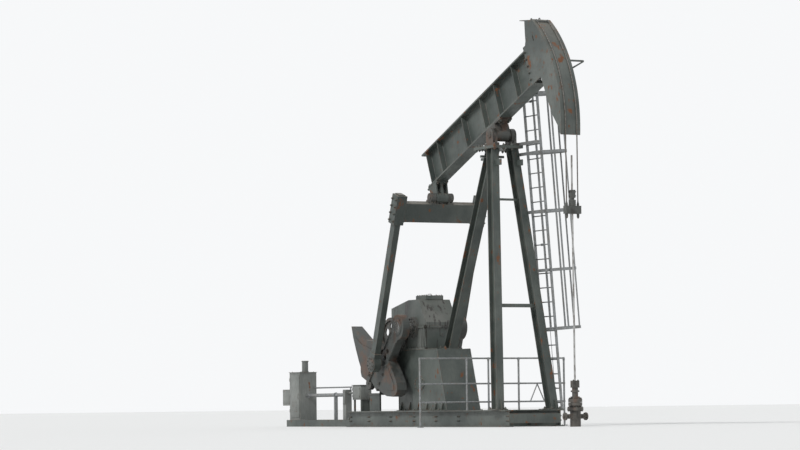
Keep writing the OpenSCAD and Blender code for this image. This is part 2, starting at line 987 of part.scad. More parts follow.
gland_r = 62;
gland_flange_r = 95;
gland_flange_h = 50;
gland_ring_z = 140;
gland_ring_r = 88;
gland_ring_h = 34;
gland_cap_z = 230;
gland_cap_r = 92;
module stuffing_box() {
    base = well_top + seat_gap;
    color([0.22, 0.22, 0.22]) {
        translate([wire_x, 0, base]) {
            difference() {
                union() {
                    cylinder(r = gland_flange_r, h = gland_flange_h, $fn = 48);
                    cylinder(r = gland_r, h = stuffing_top - base, $fn = 48);
                    translate([0, 0, gland_ring_z]) {
                        cylinder(r = gland_ring_r, h = gland_ring_h, $fn = 48);
                    }
                    translate([0, 0, gland_cap_z]) {
                        cylinder(r = gland_cap_r, h = stuffing_top - base - gland_cap_z, $fn = 48);
                    }
                }
                translate([0, 0, -cut]) {
                    cylinder(d = rod_d + 2 * seat_gap, h = well_cut, $fn = 48);
                }
            }
        }
    }
}

// Beam and horsehead.
module walking_beam() {
    color([0.13, 0.15, 0.14]) {
        in_beam() {
            translate([-beam_tail, 0, beam_mid]) {
                rotate([90, 0, 90]) {
                    linear_extrude(height = beam_tail + beam_nose) {
                        i_section(beam_b, beam_h, beam_web, beam_fl);
                    }
                }
            }
        }
    }
}

stiff_x = [-2950, -2400, -1200, -330, 330, 1150];
stiff_t = 18;
stiff_in = 10;
module beam_stiffeners() {
    gap = (beam_b - beam_web) / 2 - seat_gap - stiff_in;
    color([0.14, 0.15, 0.15]) {
        in_beam() {
            for (x = stiff_x, s = [-1, 1]) {
                translate([x - stiff_t / 2, s > 0 ? beam_web / 2 + seat_gap : -beam_web / 2 - seat_gap - gap,
                    beam_lift + beam_fl + seat_gap]) {
                    cube([stiff_t, gap, beam_h - 2 * beam_fl - 2 * seat_gap]);
                }
            }
        }
    }
}

shaft_over = 12;
shaft_half = saddle_half + shaft_over;
sleeve_r = 130;
saddle_b = 220;
saddle_clamp_l = 660;
saddle_clamp_t = 40;
bracket_half = saddle_half - house_w - side_gap;
module saddle_shaft() {
    color([0.2, 0.2, 0.2]) {
        in_beam() {
            y_bar(saddle_shaft_r, -shaft_half, shaft_half);
            y_bar(sleeve_r, -bracket_half, bracket_half);
            translate([-saddle_b / 2, -bracket_half, 0]) {
                cube([saddle_b, 2 * bracket_half, beam_lift - saddle_clamp_t]);
            }
            translate([-saddle_clamp_l / 2, -beam_b / 2, beam_lift - saddle_clamp_t - seat_gap]) {
                cube([saddle_clamp_l, beam_b, saddle_clamp_t]);
            }
        }
    }
}

// Outline of the horsehead side plate in the frame of the beam.
head_in = face_r - face_t - seat_gap;
head_lap = 100;
head_x0 = beam_nose - head_lap;
head_low = 45;
head_rise = 32;
head_facets = 24;
head_back = [2134, 1614];
head_step = [[2006, 1196], [2042, 1334]];
head_chin = [[2483, -1215], [2482, -1069], [2358, -700], [2310, -254]];
head_root = 2262;
head_tip = head_in * [cos(arc_up), sin(arc_up)];
module head_outline() {
    top = beam_lift + beam_h + head_rise;
    polygon(concat([[head_x0, beam_lift - head_low], [head_x0, top], [beam_nose, top]],
        head_step, [head_back],
        [for (i = [0 : head_facets]) let (a = arc_up - i * (arc_up + arc_down) / head_facets)
            head_in * [cos(a), sin(a)]],
        head_chin, [[head_root, beam_lift - head_low]]));
}

// Plate that closes the top of the head and stands out behind it.
top_back = 200;
top_under = 6;
top_over = 8;
module head_top_plate() {
    d = (head_tip - head_back) / norm(head_tip - head_back);
    n = [-d[1], d[0]];
    side_plate(0, head_w) {
        polygon([head_back - top_back * d - top_under * n, head_tip - top_under * n,
            head_tip + top_over * n, head_back - top_back * d + top_over * n]);
    }
}

// Small triangular bracket on the side of the head.
bracket_u = 2762;
bracket_w = 352;
side_in = 5;
side_t = 12;
side_edge = 20;
side_reach = 400;
side_drop = 240;
side_hole = [25, 340, 185];
module side_bracket() {
    root = head_w / 2 - side_in;
    translate([bracket_u, 0, bracket_w]) {
        rotate([90, 0, 90]) {
            linear_extrude(height = side_t) {
                difference() {
                    polygon([[root, side_edge], [root + side_reach, side_edge],
                        [root + side_reach, -side_edge], [root, -side_drop]]);
                    polygon([[root + side_hole[0], -side_edge], [root + side_hole[1], -side_edge],
                        [root + side_hole[0], -side_hole[2]]]);
                }
            }
        }
    }
}

nose_t = 30;
slot_at = [2290, 1040];
slot_size = [30, 130];
module horsehead() {
    color([0.14, 0.15, 0.15]) {
        in_beam() {
            for (s = [-1, 1]) {
                side_plate(s * (head_w / 2 - head_t / 2), head_t) {
                    difference() {
                        head_outline();
                        translate(slot_at) {
                            square(slot_size);
                        }
                    }
                }
            }
            for (z = [beam_lift - seat_gap - nose_t, beam_lift + beam_h + seat_gap]) {
                translate([head_x0, -head_w / 2 + head_t / 2, z]) {
                    cube([beam_nose - head_x0, head_w - head_t, nose_t]);
                }
            }
            head_top_plate();
            side_bracket();
        }
    }
}

face_w = 460;
module head_face() {
    color([0.16, 0.16, 0.16]) {
        in_beam() {
            rotate([90, 0, 0]) {
                rotate([0, 0, -arc_down]) {
                    translate([0, 0, -face_w / 2]) {
                        rotate_extrude(angle = arc_up + arc_down, $fn = 160) {
                            translate([face_r - face_t, 0]) {
                                square([face_t, face_w]);
                            }
                        }
                    }
                }
            }
        }
    }
}

eye_r = 110;
hub_half = 145;
pin_r = 60;
lug_t = 30;
lug_mid_t = 60;
lug_top = 170;
tail_plate_t = 40;
tail_plate_l = 460;
module tail_bracket() {
    top = beam_lift - tail_plate_t;
    color([0.16, 0.16, 0.17]) {
        in_beam() {
            difference() {
                union() {
                    for (s = [-1, 1]) {
                        side_plate(s * (hub_half - lug_t / 2), lug_t) {
                            polygon([[tail_u - lug_top, top], [tail_u + lug_top, top],
                                [tail_u + eye_r, tail_w], [tail_u - eye_r, tail_w]]);
                        }
                    }
                    side_plate(0, lug_mid_t) {
                        polygon([[tail_u - lug_top, top], [tail_u + lug_top, top],
                            [tail_u + eye_r, tail_w], [tail_u - eye_r, tail_w]]);
                    }
                    translate([tail_u, 0, tail_w]) {
                        y_bar(eye_r, -hub_half, hub_half);
                    }
                    translate([tail_u - tail_plate_l / 2, -hub_half, top - seat_gap]) {
                        cube([tail_plate_l, 2 * hub_half, tail_plate_t]);
                    }
                }
                translate([tail_u, 0, tail_w]) {
                    y_bar(pin_r + bearing_gap, -2 * hub_half, 2 * hub_half);
                }
            }
        }
    }
}

wrap_short = 2;
module bridle_wrap() {
    color([0.3, 0.3, 0.3]) {
        in_beam() {
            for (s = [-1, 1]) {
                translate([0, s * wire_gap / 2, 0]) {
                    rotate([90, 0, 0]) {
                        rotate([0, 0, -beam_tilt]) {
                            rotate_extrude(angle = beam_tilt + arc_up - wrap_short, $fn = 120) {
                                translate([head_r + seat_gap, 0]) {
                                    circle(d = wire_d, $fn = 16);
                                }
                            }
                        }
                    }
                }
            }
        }
    }
}

// Equalizer and pitmans.
eq_gap = 15;
eq_top = -eye_r - eq_gap;
eq_h = 420;
eq_b = 240;
eq_in = 120;
module equalizer() {
    color([0.15, 0.16, 0.16]) {
        in_pitman() {
            translate([-eq_b / 2, -pitman_y + eq_in, eq_top - eq_h]) {
                cube([eq_b, 2 * pitman_y - 2 * eq_in, eq_h]);
            }
        }
    }
}

// Shaft through the hub of the tail bracket, in a pillow block at each side.
block_w = 130;
block_r = 100;
block_b = 170;
block_foot_b = 236;
block_foot_t = 34;
pin_over = 12;
module equalizer_bearing() {
    mid = hub_half + side_gap + block_w / 2;
    color([0.2, 0.2, 0.2]) {
        in_pitman() {
            y_bar(pin_r, -mid - block_w / 2 - pin_over, mid + block_w / 2 + pin_over);
            for (s = [-1, 1]) {
                translate([0, s * mid, 0]) {
                    y_bar(block_r, -block_w / 2, block_w / 2);
                    translate([-block_b / 2, -block_w / 2, eq_top + seat_gap]) {
                        cube([block_b, block_w, -eq_top]);
                    }
                    translate([-block_foot_b / 2, -block_w / 2, eq_top + seat_gap]) {
                        cube([block_foot_b, block_w, block_foot_t]);
                    }
                }
            }
        }
    }
}

wrist_r = 190;
wrist_w = 170;
socket_x = 130;
socket_top = 40;
socket_low = 620;
socket_w = 240;
pitman_over = 60;
wrist_block_b = 240;
wrist_block_h = 60;
module pitmans() {
    color([0.15, 0.16, 0.16]) {
        in_pitman() {
            for (s = [-1, 1]) {
                translate([-pitman_d / 2, s * pitman_y - pitman_b / 2, -pitman_p]) {
                    cube([pitman_d, pitman_b, pitman_p + pitman_over]);
                }
                translate([0, s * pitman_y, -pitman_p]) {
                    y_bar(wrist_r, -wrist_w / 2, wrist_w / 2);
                    translate([-wrist_block_b / 2, -wrist_w / 2, 0]) {
                        cube([wrist_block_b, wrist_w, wrist_r + wrist_block_h]);
                    }
                }
                translate([-socket_x, s * pitman_y - socket_w / 2 + seat_gap, -socket_low]) {
                    cube([2 * socket_x, socket_w - 2 * seat_gap, socket_low + socket_top]);
                }
            }
        }
    }
}

// Cranks.
shaft_past = 20;
module crankshaft() {
    color([0.35, 0.35, 0.36]) {
        translate(shaft_pos) {
            y_bar(shaft_r, -crank_y - crank_t - shaft_past, crank_y + crank_t + shaft_past);
        }
    }
}

crank_hub_r = 280;
crank_l = 1720;
wrist_pin_r = 58;
stroke_step = 180;
module cranks() {
    color([0.15, 0.15, 0.15]) {
        in_crank() {
            for (s = [-1, 1]) {
                difference() {
                    side_plate(s * (crank_y + crank_t / 2), crank_t) {
                        union() {
                            circle(r = crank_hub_r, $fn = 64);
                            polygon([[-crank_half, 0], [-crank_half, -crank_l], [crank_half, -crank_l],
                                [crank_half, 0]]);
                        }
                    }
                    translate([0, s * (crank_y + crank_t / 2), 0]) {
                        y_bar(shaft_r + bearing_gap, -crank_t, crank_t);
                    }
                    for (k = [0 : 2]) {
                        translate([0, s * (crank_y + crank_t / 2), -crank_r + k * stroke_step]) {
                            y_bar(wrist_pin_r + bearing_gap, -crank_t, crank_t);
                        }
                    }
                }
            }
        }
    }
}

// Large weight on the leading edge of the crank: its crank side at x 0, far end down.
lead_points = [[0, -820], [400, -930], [790, -1215], [1400, -1345], [1452, -1392],
    [1205, -1532], [930, -1645], [665, -1742], [510, -1785], [435, -1866], [330, -1915],
    [150, -1850], [0, -1790]];

// Smaller weight on the lagging edge of the crank.
lag_points = [[0, -820], [300, -840], [620, -900], [760, -1000], [780, -1120],
    [700, -1260], [480, -1440], [250, -1540], [0, -1600]];

module counterweights() {
    in = crank_half + seat_gap;
    mid = crank_y + crank_t / 2;
    color([0.17, 0.17, 0.17]) {
        in_crank() {
            for (s = [-1, 1]) {
                side_plate(s * mid, weight_t) {
                    mirror([1, 0]) {
                        translate([in, 0]) {
                            polygon(lead_points);
                        }
                    }
                    translate([in, 0]) {
                        polygon(lag_points);
                    }
                }
            }
        }
    }
}

pin_root = 40;
module wrist_pins() {
    tip = pitman_y - wrist_w / 2 - side_gap;
    color([0.3, 0.3, 0.3]) {
        in_crank() {
            for (s = [-1, 1]) {
                translate([0, 0, -crank_r]) {
                    y_bar(wrist_pin_r, s > 0 ? crank_y - pin_root : -tip,
                        s > 0 ? tip : -crank_y + pin_root);
                }
            }
        }
    }
}

// Carrier bar, rod and bridle.
carrier_b = 120;
carrier_end = 45;
wire_socket_r = 28;
wire_socket_h = 60;
module carrier_bar() {
    color([0.2, 0.2, 0.2]) {
        translate([wire_x, 0, carrier_z - carrier_h]) {
            difference() {
                translate([-carrier_b / 2, -wire_gap / 2 - carrier_end, 0]) {
                    cube([carrier_b, wire_gap + 2 * carrier_end, carrier_h]);
                }
                translate([0, 0, -cut]) {
                    cylinder(d = rod_d + 2 * bearing_gap, h = carrier_h + 2 * cut, $fn = 48);
                }
            }
            for (s = [-1, 1]) {
                translate([0, s * wire_gap / 2, -wire_socket_h]) {
                    cylinder(r = wire_socket_r, h = wire_socket_h, $fn = 32);
                }
            }
        }
    }
}

spacer_r = 72;
spacer_h = 120;
clamp_neck_r = 44;
clamp_neck_h = 200;
clamp_z = 160;
clamp_size = [116, 90, 165];
clamp_cut = 400;
module rod_clamp() {
    color([0.2, 0.2, 0.2]) {
        translate([wire_x, 0, carrier_z + seat_gap]) {
            difference() {
                union() {
                    cylinder(r = spacer_r, h = spacer_h, $fn = 48);
                    cylinder(r = clamp_neck_r, h = clamp_neck_h, $fn = 48);
                    translate([-clamp_size[0] / 2, -clamp_size[1] / 2, clamp_z]) {
                        cube(clamp_size);
                    }
                }
                translate([0, 0, -cut]) {
                    cylinder(d = rod_d + 2 * bearing_gap, h = clamp_cut, $fn = 48);
                }
            }
        }
    }
}

rod_below = 100;
module polished_rod() {
    color([0.5, 0.5, 0.5]) {
        translate([wire_x, 0, carrier_z - carrier_h - rod_below]) {
            cylinder(d = rod_d, h = rod_top - carrier_z + carrier_h + rod_below, $fn = 48);
        }
    }
}

module rod_exposed() {
    color([0.5, 0.5, 0.5]) {
        translate([wire_x, 0, stuffing_top + seat_gap]) {
            cylinder(d = rod_d, h = carrier_z - carrier_h - rod_below - stuffing_top - 2 * seat_gap,
                $fn = 48);
        }
    }
}

wire_short = 6;
module bridle_wires() {
    color([0.3, 0.3, 0.3]) {
        for (s = [-1, 1]) {
            translate([wire_x, s * wire_gap / 2, carrier_z + seat_gap]) {
                cylinder(d = wire_d, h = saddle_h - carrier_z - seat_gap - wire_short, $fn = 32);
            }
        }
    }
}

skid_beams();
skid_cross_members();
pedestal();
front_legs();
rear_leg();
leg_braces();
post_cap();
saddle_housings();
ladder();
cage_hoops();
cage_straps();
ladder_brackets();
gear_case();
inspection_cover();
shaft_bearing_caps();
brake_drum();
sheaves();
drive_belts();
motor();
motor_mount();
cabinet();
cabinet_vent();
extension_rails();
service_pipe();
side_box();
junction_box();
hand_rail();
guard_rail();
casing_head();
stuffing_box();
walking_beam();
saddle_shaft();
beam_stiffeners();
horsehead();
head_face();
tail_bracket();
bridle_wrap();
equalizer();
equalizer_bearing();
pitmans();
crankshaft();
cranks();
counterweights();
wrist_pins();
carrier_bar();
rod_clamp();
polished_rod();
rod_exposed();
bridle_wires();
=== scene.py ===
"""Looks of a crank balanced beam pumping unit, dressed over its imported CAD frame."""

import math

import bpy
import numpy as np
from mathutils import Euler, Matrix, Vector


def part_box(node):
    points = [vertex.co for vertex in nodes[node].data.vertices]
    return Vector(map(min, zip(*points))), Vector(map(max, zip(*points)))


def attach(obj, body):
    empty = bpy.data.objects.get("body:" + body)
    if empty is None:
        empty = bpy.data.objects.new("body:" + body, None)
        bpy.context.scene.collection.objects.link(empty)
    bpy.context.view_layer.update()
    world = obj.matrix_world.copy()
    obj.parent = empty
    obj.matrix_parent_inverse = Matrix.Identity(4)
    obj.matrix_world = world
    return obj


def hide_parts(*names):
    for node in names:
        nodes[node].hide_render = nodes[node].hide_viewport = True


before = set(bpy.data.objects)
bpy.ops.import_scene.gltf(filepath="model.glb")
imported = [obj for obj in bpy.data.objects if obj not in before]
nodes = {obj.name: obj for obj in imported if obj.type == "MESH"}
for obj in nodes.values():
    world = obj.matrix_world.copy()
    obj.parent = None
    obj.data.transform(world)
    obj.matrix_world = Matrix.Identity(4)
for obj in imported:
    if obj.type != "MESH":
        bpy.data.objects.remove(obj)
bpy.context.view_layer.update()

# Camera. A long lens far off on the well side, low over flat ground, looking
# past the near side of the post. The picture leans a little to the left.
PHOTO_WIDTH = 800.0
SENSOR_WIDTH = 36.0
FOCAL_PIXELS = 3055.0
HORIZON_PIXELS = 181.6
SADDLE_PIXELS = 102.6
VIEW_AZIMUTH = math.radians(30.0)
VIEW_DISTANCE = 65.0
EYE_HEIGHT = 0.45
PITCH_UP = math.atan(HORIZON_PIXELS / FOCAL_PIXELS)
AIM_LEFT = math.atan(SADDLE_PIXELS / FOCAL_PIXELS)
ROLL = math.radians(0.668)
FARTHEST = 900.0

camera_data = bpy.data.cameras.new("camera")
camera_data.sensor_width = SENSOR_WIDTH
camera_data.lens = SENSOR_WIDTH * FOCAL_PIXELS / PHOTO_WIDTH
camera_data.clip_end = FARTHEST
camera = bpy.data.objects.new("camera", camera_data)
bpy.context.scene.collection.objects.link(camera)
bpy.context.scene.camera = camera
camera.location = (
    VIEW_DISTANCE * math.cos(VIEW_AZIMUTH),
    -VIEW_DISTANCE * math.sin(VIEW_AZIMUTH),
    EYE_HEIGHT,
)
heading = math.pi / 2 - VIEW_AZIMUTH + AIM_LEFT
camera.rotation_mode = "XYZ"
turn = Euler((math.pi / 2 + PITCH_UP, 0.0, heading), "XYZ").to_matrix()
roll = Euler((0.0, 0.0, -ROLL), "XYZ").to_matrix()
camera.rotation_euler = (turn @ roll).to_euler("XYZ")


# Floor and light. A wide pale floor, an even sky and one broad soft sun from
# the camera's left, so that paint shows at about its own colour. Camera,
# glossy and transmission rays see a paler sky than the one that lights.
FLOOR_HALF = 450.0
FLOOR_TONE = (0.80, 0.80, 0.79, 1)
FLOOR_ROUGHNESS = 0.9
FLOOR_SHEEN = 0.1
SKY_TONE = (0.96, 0.98, 1.0, 1)
SKY_LEVEL = 0.62
SEEN_TONE = (0.93, 0.94, 0.95, 1)
SEEN_LEVEL = 1.0
SUN_LEVEL = 1.9
SUN_BREADTH = math.radians(14.0)
SUN_SLANT = math.radians(46.0)
SUN_HEADING = math.radians(18.0)

bpy.context.scene.view_settings.view_transform = "Standard"
floor_mesh = bpy.data.meshes.new("floor")
floor_corners = np.array([[-1, -1, 0], [1, -1, 0], [1, 1, 0], [-1, 1, 0]]) * FLOOR_HALF
floor_mesh.from_pydata(floor_corners.tolist(), [], [(0, 1, 2, 3)])
floor = bpy.data.objects.new("floor", floor_mesh)
bpy.context.scene.collection.objects.link(floor)
floor_paint = bpy.data.materials.new("pale_floor")
floor_paint.use_nodes = True
floor_shader = floor_paint.node_tree.nodes["Principled BSDF"]
floor_shader.inputs["Base Color"].default_value = FLOOR_TONE
floor_shader.inputs["Roughness"].default_value = FLOOR_ROUGHNESS
floor_shader.inputs["Specular IOR Level"].default_value = FLOOR_SHEEN
floor_mesh.materials.append(floor_paint)

world = bpy.data.worlds.new("sky")
bpy.context.scene.world = world
world.use_nodes = True
sky = world.node_tree
sky.nodes.clear()
sky_out, sky_mix, sky_soft, sky_seen, sky_path, sky_either, sky_any = (
    sky.nodes.new("ShaderNode" + kind) for kind in (
        "OutputWorld", "MixShader", "Background", "Background", "LightPath", "Math", "Math"))
for background, tone, level in ((sky_soft, SKY_TONE, SKY_LEVEL), (sky_seen, SEEN_TONE, SEEN_LEVEL)):
    background.inputs["Color"].default_value = tone
    background.inputs["Strength"].default_value = level
sky_either.operation = sky_any.operation = "MAXIMUM"
for start, end in (
        (sky_path.outputs["Is Camera Ray"], sky_either.inputs[0]),
        (sky_path.outputs["Is Glossy Ray"], sky_either.inputs[1]),
        (sky_either.outputs[0], sky_any.inputs[0]),
        (sky_path.outputs["Is Transmission Ray"], sky_any.inputs[1]),
        (sky_any.outputs[0], sky_mix.inputs[0]),
        (sky_soft.outputs[0], sky_mix.inputs[1]),
        (sky_seen.outputs[0], sky_mix.inputs[2]),
        (sky_mix.outputs[0], sky_out.inputs["Surface"])):
    sky.links.new(start, end)

sun_data = bpy.data.lights.new("sun", "SUN")
sun_data.energy = SUN_LEVEL
sun_data.angle = SUN_BREADTH
sun = bpy.data.objects.new("sun", sun_data)
sun.rotation_euler = (SUN_SLANT, 0, SUN_HEADING)
bpy.context.scene.collection.objects.link(sun)


# Skid. Two long rolled I beams on the ground joined by cross members, welded
# and bolted at the webs, brush painted dark and rusting where water stands.
FLOAT = "NodeSocketFloat"
COLOUR = "NodeSocketColor"
VECTOR = "NodeSocketVector"
ROUGH_NOISE = 0.62
BUMP_STRENGTH = 0.55
BRUSH_SHADE = (0.02, 0.021, 0.02, 1)
DARK_RUST = (0.085, 0.035, 0.018, 1)
BRIGHT_RUST = (0.21, 0.085, 0.035, 1)
PALE_DUST = (0.31, 0.27, 0.22, 1)


def group_tree(name, wanted, given):
    """An empty node group, with the sockets that its inside reads and fills. What
    goes in and out is given by name and kind."""
    tree = bpy.data.node_groups.new(name, "ShaderNodeTree")
    for way, sockets in (("INPUT", wanted), ("OUTPUT", given)):
        for label, kind in sockets.items():
            tree.interface.new_socket(label, in_out=way, socket_type=kind)
    source = tree.nodes.new("NodeGroupInput")
    sink = tree.nodes.new("NodeGroupOutput")
    return tree, source.outputs, sink.inputs


def feed(tree, value, socket):
    """An input takes a link where the value is a socket, and else the plain value."""
    if isinstance(value, bpy.types.NodeSocket):
        tree.links.new(value, socket)
    else:
        socket.default_value = value


def node_of(tree, kind, settings=(), **values):
    """One node with its settings, and a link or a plain value in each named input."""
    node = tree.nodes.new("ShaderNode" + kind)
    for label, value in dict(settings).items():
        setattr(node, label, value)
    for label, value in values.items():
        feed(tree, value, node.inputs[label])
    return node


def noise(tree, place, scale, detail, stretch=(1, 1, 1)):
    """Noise over object coordinates; an axis with a small scale is drawn out."""
    mapped = node_of(tree, "Mapping", Scale=stretch, Vector=place)
    made = node_of(tree, "TexNoise", Scale=scale, Detail=detail, Roughness=ROUGH_NOISE,
                   Vector=mapped.outputs[0])
    return made.outputs["Fac"]


def maths(tree, operation, first, second=0.0):
    """One arithmetic node between two sockets or numbers."""
    node = node_of(tree, "Math", {"operation": operation})
    feed(tree, first, node.inputs[0])
    feed(tree, second, node.inputs[1])
    return node.outputs[0]


def plus(tree, first, second):
    """The sum of two sockets or numbers."""
    return maths(tree, "ADD", first, second)


def times(tree, first, second):
    """The product of two sockets or numbers."""
    return maths(tree, "MULTIPLY", first, second)


def spread(tree, value, low, high, floor=0.0, ceiling=1.0):
    """A value mapped smoothly from low..high to floor..ceiling."""
    bounds = {"From Min": low, "From Max": high, "To Min": floor, "To Max": ceiling}
    node = node_of(tree, "MapRange", {"interpolation_type": "SMOOTHSTEP"}, Value=value, **bounds)
    return node.outputs["Result"]


def blend_colour(tree, mask, first, second):
    """First colour where the mask is 0 and second where it is 1. A mix node has its
    colours at places 6 and 7 of the inputs and 2 of the outputs."""
    node = node_of(tree, "Mix", {"data_type": "RGBA"}, Factor=mask)
    feed(tree, first, node.inputs[6])
    feed(tree, second, node.inputs[7])
    return node.outputs[2]


def upward(tree):
    """How far a face looks up: the Z part of its normal."""
    flat = node_of(tree, "NewGeometry")
    return node_of(tree, "SeparateXYZ", Vector=flat.outputs["Normal"]).outputs["Z"]


def build_worn_edges():
    """Mask of outer corners: how far the rounded normal turns from the flat one."""
    tree, wanted, given = group_tree("worn_edges", {"Width": FLOAT}, {"Mask": FLOAT})
    bevel = node_of(tree, "Bevel", {"samples": 4}, Radius=wanted["Width"])
    flat = node_of(tree, "NewGeometry")
    dot = node_of(tree, "VectorMath", {"operation": "DOT_PRODUCT"})
    feed(tree, bevel.outputs[0], dot.inputs[0])
    feed(tree, flat.outputs["Normal"], dot.inputs[1])
    turned_off = maths(tree, "SUBTRACT", 1.0, dot.outputs["Value"])
    feed(tree, spread(tree, turned_off, 0.02, 0.22), given["Mask"])
    return tree


worn_edges = build_worn_edges()


def edge_mask(tree, width):
    """The mask of worn edges, as wide as given in metres."""
    return node_of(tree, "Group", {"node_tree": worn_edges}, Width=width).outputs["Mask"]


def coat_tree(name, **wanted):
    """The node group of a coat: coordinates and the wanted inputs go in, and a
    colour, a roughness and a height come out."""
    return group_tree(name, {"Coordinates": VECTOR, **wanted},
                      {"Color": COLOUR, "Roughness": FLOAT, "Height": FLOAT})


def finish_coat(tree, given, colour, rough, height):
    """The coat's group with its three outputs filled."""
    feed(tree, colour, given["Color"])
    feed(tree, rough, given["Roughness"])
    feed(tree, height, given["Height"])
    return tree


def build_weathered_coat():
    """Old paint: fading in broad patches, rust in blots and runs, bare worn
    edges, pale dust on faces that look up, and brush and grit marks."""
    tree, wanted, given = coat_tree("weathered_coat", Paint=COLOUR, Faded=COLOUR,
                                    Rust=FLOAT, Dust=FLOAT, Wear=FLOAT)
    place = wanted["Coordinates"]
    broad = noise(tree, place, 0.9, 3)
    blots = noise(tree, place, 5.5, 8)
    runs = noise(tree, place, 7.0, 5, (1.0, 1.0, 0.10))
    grit = noise(tree, place, 95.0, 4)
    brushed = noise(tree, place, 34.0, 3, (1.0, 1.0, 0.22))
    base = blend_colour(tree, spread(tree, broad, 0.36, 0.66), wanted["Paint"], wanted["Faded"])
    base = blend_colour(tree, spread(tree, brushed, 0.3, 0.7, 0.0, 0.22), base, BRUSH_SHADE)
    rust_from = maths(tree, "SUBTRACT", 0.74, times(tree, wanted["Rust"], 0.3))
    blotted = plus(tree, times(tree, blots, 0.62), times(tree, runs, 0.38))
    rusted = spread(tree, blotted, rust_from, plus(tree, rust_from, 0.06))
    chipped = times(tree, edge_mask(tree, 0.009), spread(tree, blots, 0.38, 0.6))
    chipped = times(tree, chipped, wanted["Wear"])
    rust_tone = blend_colour(tree, grit, DARK_RUST, BRIGHT_RUST)
    base = blend_colour(tree, maths(tree, "MAXIMUM", rusted, chipped), base, rust_tone)
    settled = times(tree, spread(tree, upward(tree), 0.45, 0.98),
                    spread(tree, broad, 0.3, 0.7, 0.35, 1.0))
    settled = times(tree, settled, wanted["Dust"])
    base = blend_colour(tree, settled, base, PALE_DUST)
    rough = plus(tree, spread(tree, blots, 0.3, 0.7, 0.38, 0.56),
                 times(tree, maths(tree, "MAXIMUM", rusted, settled), 0.34))
    height = plus(tree, times(tree, grit, 0.25), times(tree, rusted, 0.6))
    height = plus(tree, height, times(tree, brushed, 0.3))
    return finish_coat(tree, given, base, rough, height)


weathered_coat = build_weathered_coat()


def finished(name, coat, depth, metallic=0.0, **values):
    """A material whose colour, roughness and bump come from one coat group, with the
    bump's depth in metres."""
    material = bpy.data.materials.new(name)
    material.use_nodes = True
    tree = material.node_tree
    shader = tree.nodes["Principled BSDF"]
    place = node_of(tree, "TexCoord").outputs["Object"]
    made = node_of(tree, "Group", {"node_tree": coat}, Coordinates=place, **values).outputs
    bump = node_of(tree, "Bump", Strength=BUMP_STRENGTH, Distance=depth, Height=made["Height"])
    for label, value in (("Metallic", metallic), ("Base Color", made["Color"]),
                         ("Roughness", made["Roughness"]), ("Normal", bump.outputs[0])):
        feed(tree, value, shader.inputs[label])
    return material


def dress(material, *names):
    """The CAD nodes of these names take the material in all their slots."""
    for name in names:
        for place in nodes[name].material_slots:
            place.material = material


def tube_faces(copies, rows, columns, first, closed):
    """Quads between neighbouring rings of each copy; the last ring meets the first
    one where the tube is closed, and else both ends get a flat cap."""
    start = first + np.arange(copies) * rows * columns
    row = np.arange(rows if closed else rows - 1)[:, None]
    column = np.arange(columns)
    turned_on = (column + 1) % columns
    corner = [row * columns + column, row * columns + turned_on,
              (row + 1) % rows * columns + turned_on, (row + 1) % rows * columns + column]
    quads = (start[:, None, None, None] + np.stack(corner, -1)).reshape(-1, 4).tolist()
    if closed:
        return quads
    foot = start[:, None] + column[::-1]
    head = start[:, None] + (rows - 1) * columns + column
    return quads + foot.tolist() + head.tolist()


def add_piece(name, shells, material, body, sharp=35.0):
    """One mesh from arrays of rings, each of shape copies, rows, columns, 3. A list
    holding such an array is a tube closed on itself. Edges turn sharp past the
    given degrees."""
    points, faces, count = [], [], 0
    for rings in shells:
        closed = isinstance(rings, list)
        rings = rings[0] if closed else rings
        rings = rings if rings.ndim == 4 else rings[None]
        faces += tube_faces(*rings.shape[:3], count, closed)
        points.append(rings.reshape(-1, 3))
        count += len(points[-1])
    mesh = bpy.data.meshes.new(name)
    mesh.from_pydata(np.concatenate(points).tolist(), [], faces)
    mesh.polygons.foreach_set("use_smooth", np.ones(len(mesh.polygons), bool))
    mesh.set_sharp_from_angle(angle=math.radians(sharp))
    mesh.materials.append(material)
    made = bpy.data.objects.new(name, mesh)
    bpy.context.scene.collection.objects.link(made)
    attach(made, body)
    return made


def across(direction):
    """Two unit vectors across each direction and the direction itself, right-handed."""
    along = direction / np.linalg.norm(direction, axis=-1, keepdims=True)
    steep = np.abs(along[..., 2:3]) > 0.9
    helper = np.where(steep, [1.0, 0.0, 0.0], [0.0, 0.0, 1.0])
    side = np.cross(helper, along)
    side /= np.linalg.norm(side, axis=-1, keepdims=True)
    return np.stack([side, np.cross(along, side), along], -2)


def turned(profile, columns, spots, direction, phase=0.0):
    """Rings of turned parts: radius times a circle across the axis plus height along it."""
    spots = np.atleast_2d(np.asarray(spots, float))
    direction = np.broadcast_to(np.asarray(direction, float), spots.shape)
    angle = phase + np.arange(columns) * 2 * math.pi / columns
    radius, height = np.asarray(profile, float).T[:, :, None]
    local = np.stack([radius * np.cos(angle), radius * np.sin(angle), height + 0 * angle], -1)
    return spots[:, None, None] + np.einsum("rcj,kji->krci", local, across(direction))


def hex_bolts(spots, direction, size, stud=0.5):
    """Washer, six-sided nut with a chamfer, and domed stud end, size across corners.
    Radii and heights are shares of half that size, and so is the stud's length."""
    r = size / 2
    washer = [(r * 1.25, 0), (r * 1.25, r * 0.14), (r * 1.15, r * 0.2)]
    nut = [(r * 0.96, r * 0.2), (r, r * 0.3), (r, r * 1.0), (r * 0.88, r * 1.15)]
    tip = [(r * 0.5, r * 1.1), (r * 0.5, r * (1.15 + stud)), (r * 0.36, r * (1.25 + stud))]
    return [turned(washer, 14, spots, direction), turned(nut, 6, spots, direction, 0.4),
            turned(tip, 8, spots, direction)]


def crossing(*values):
    """All combinations of the given coordinates as rows of x, y, z."""
    return np.stack(np.meshgrid(*values, indexing="ij"), -1).reshape(-1, 3)


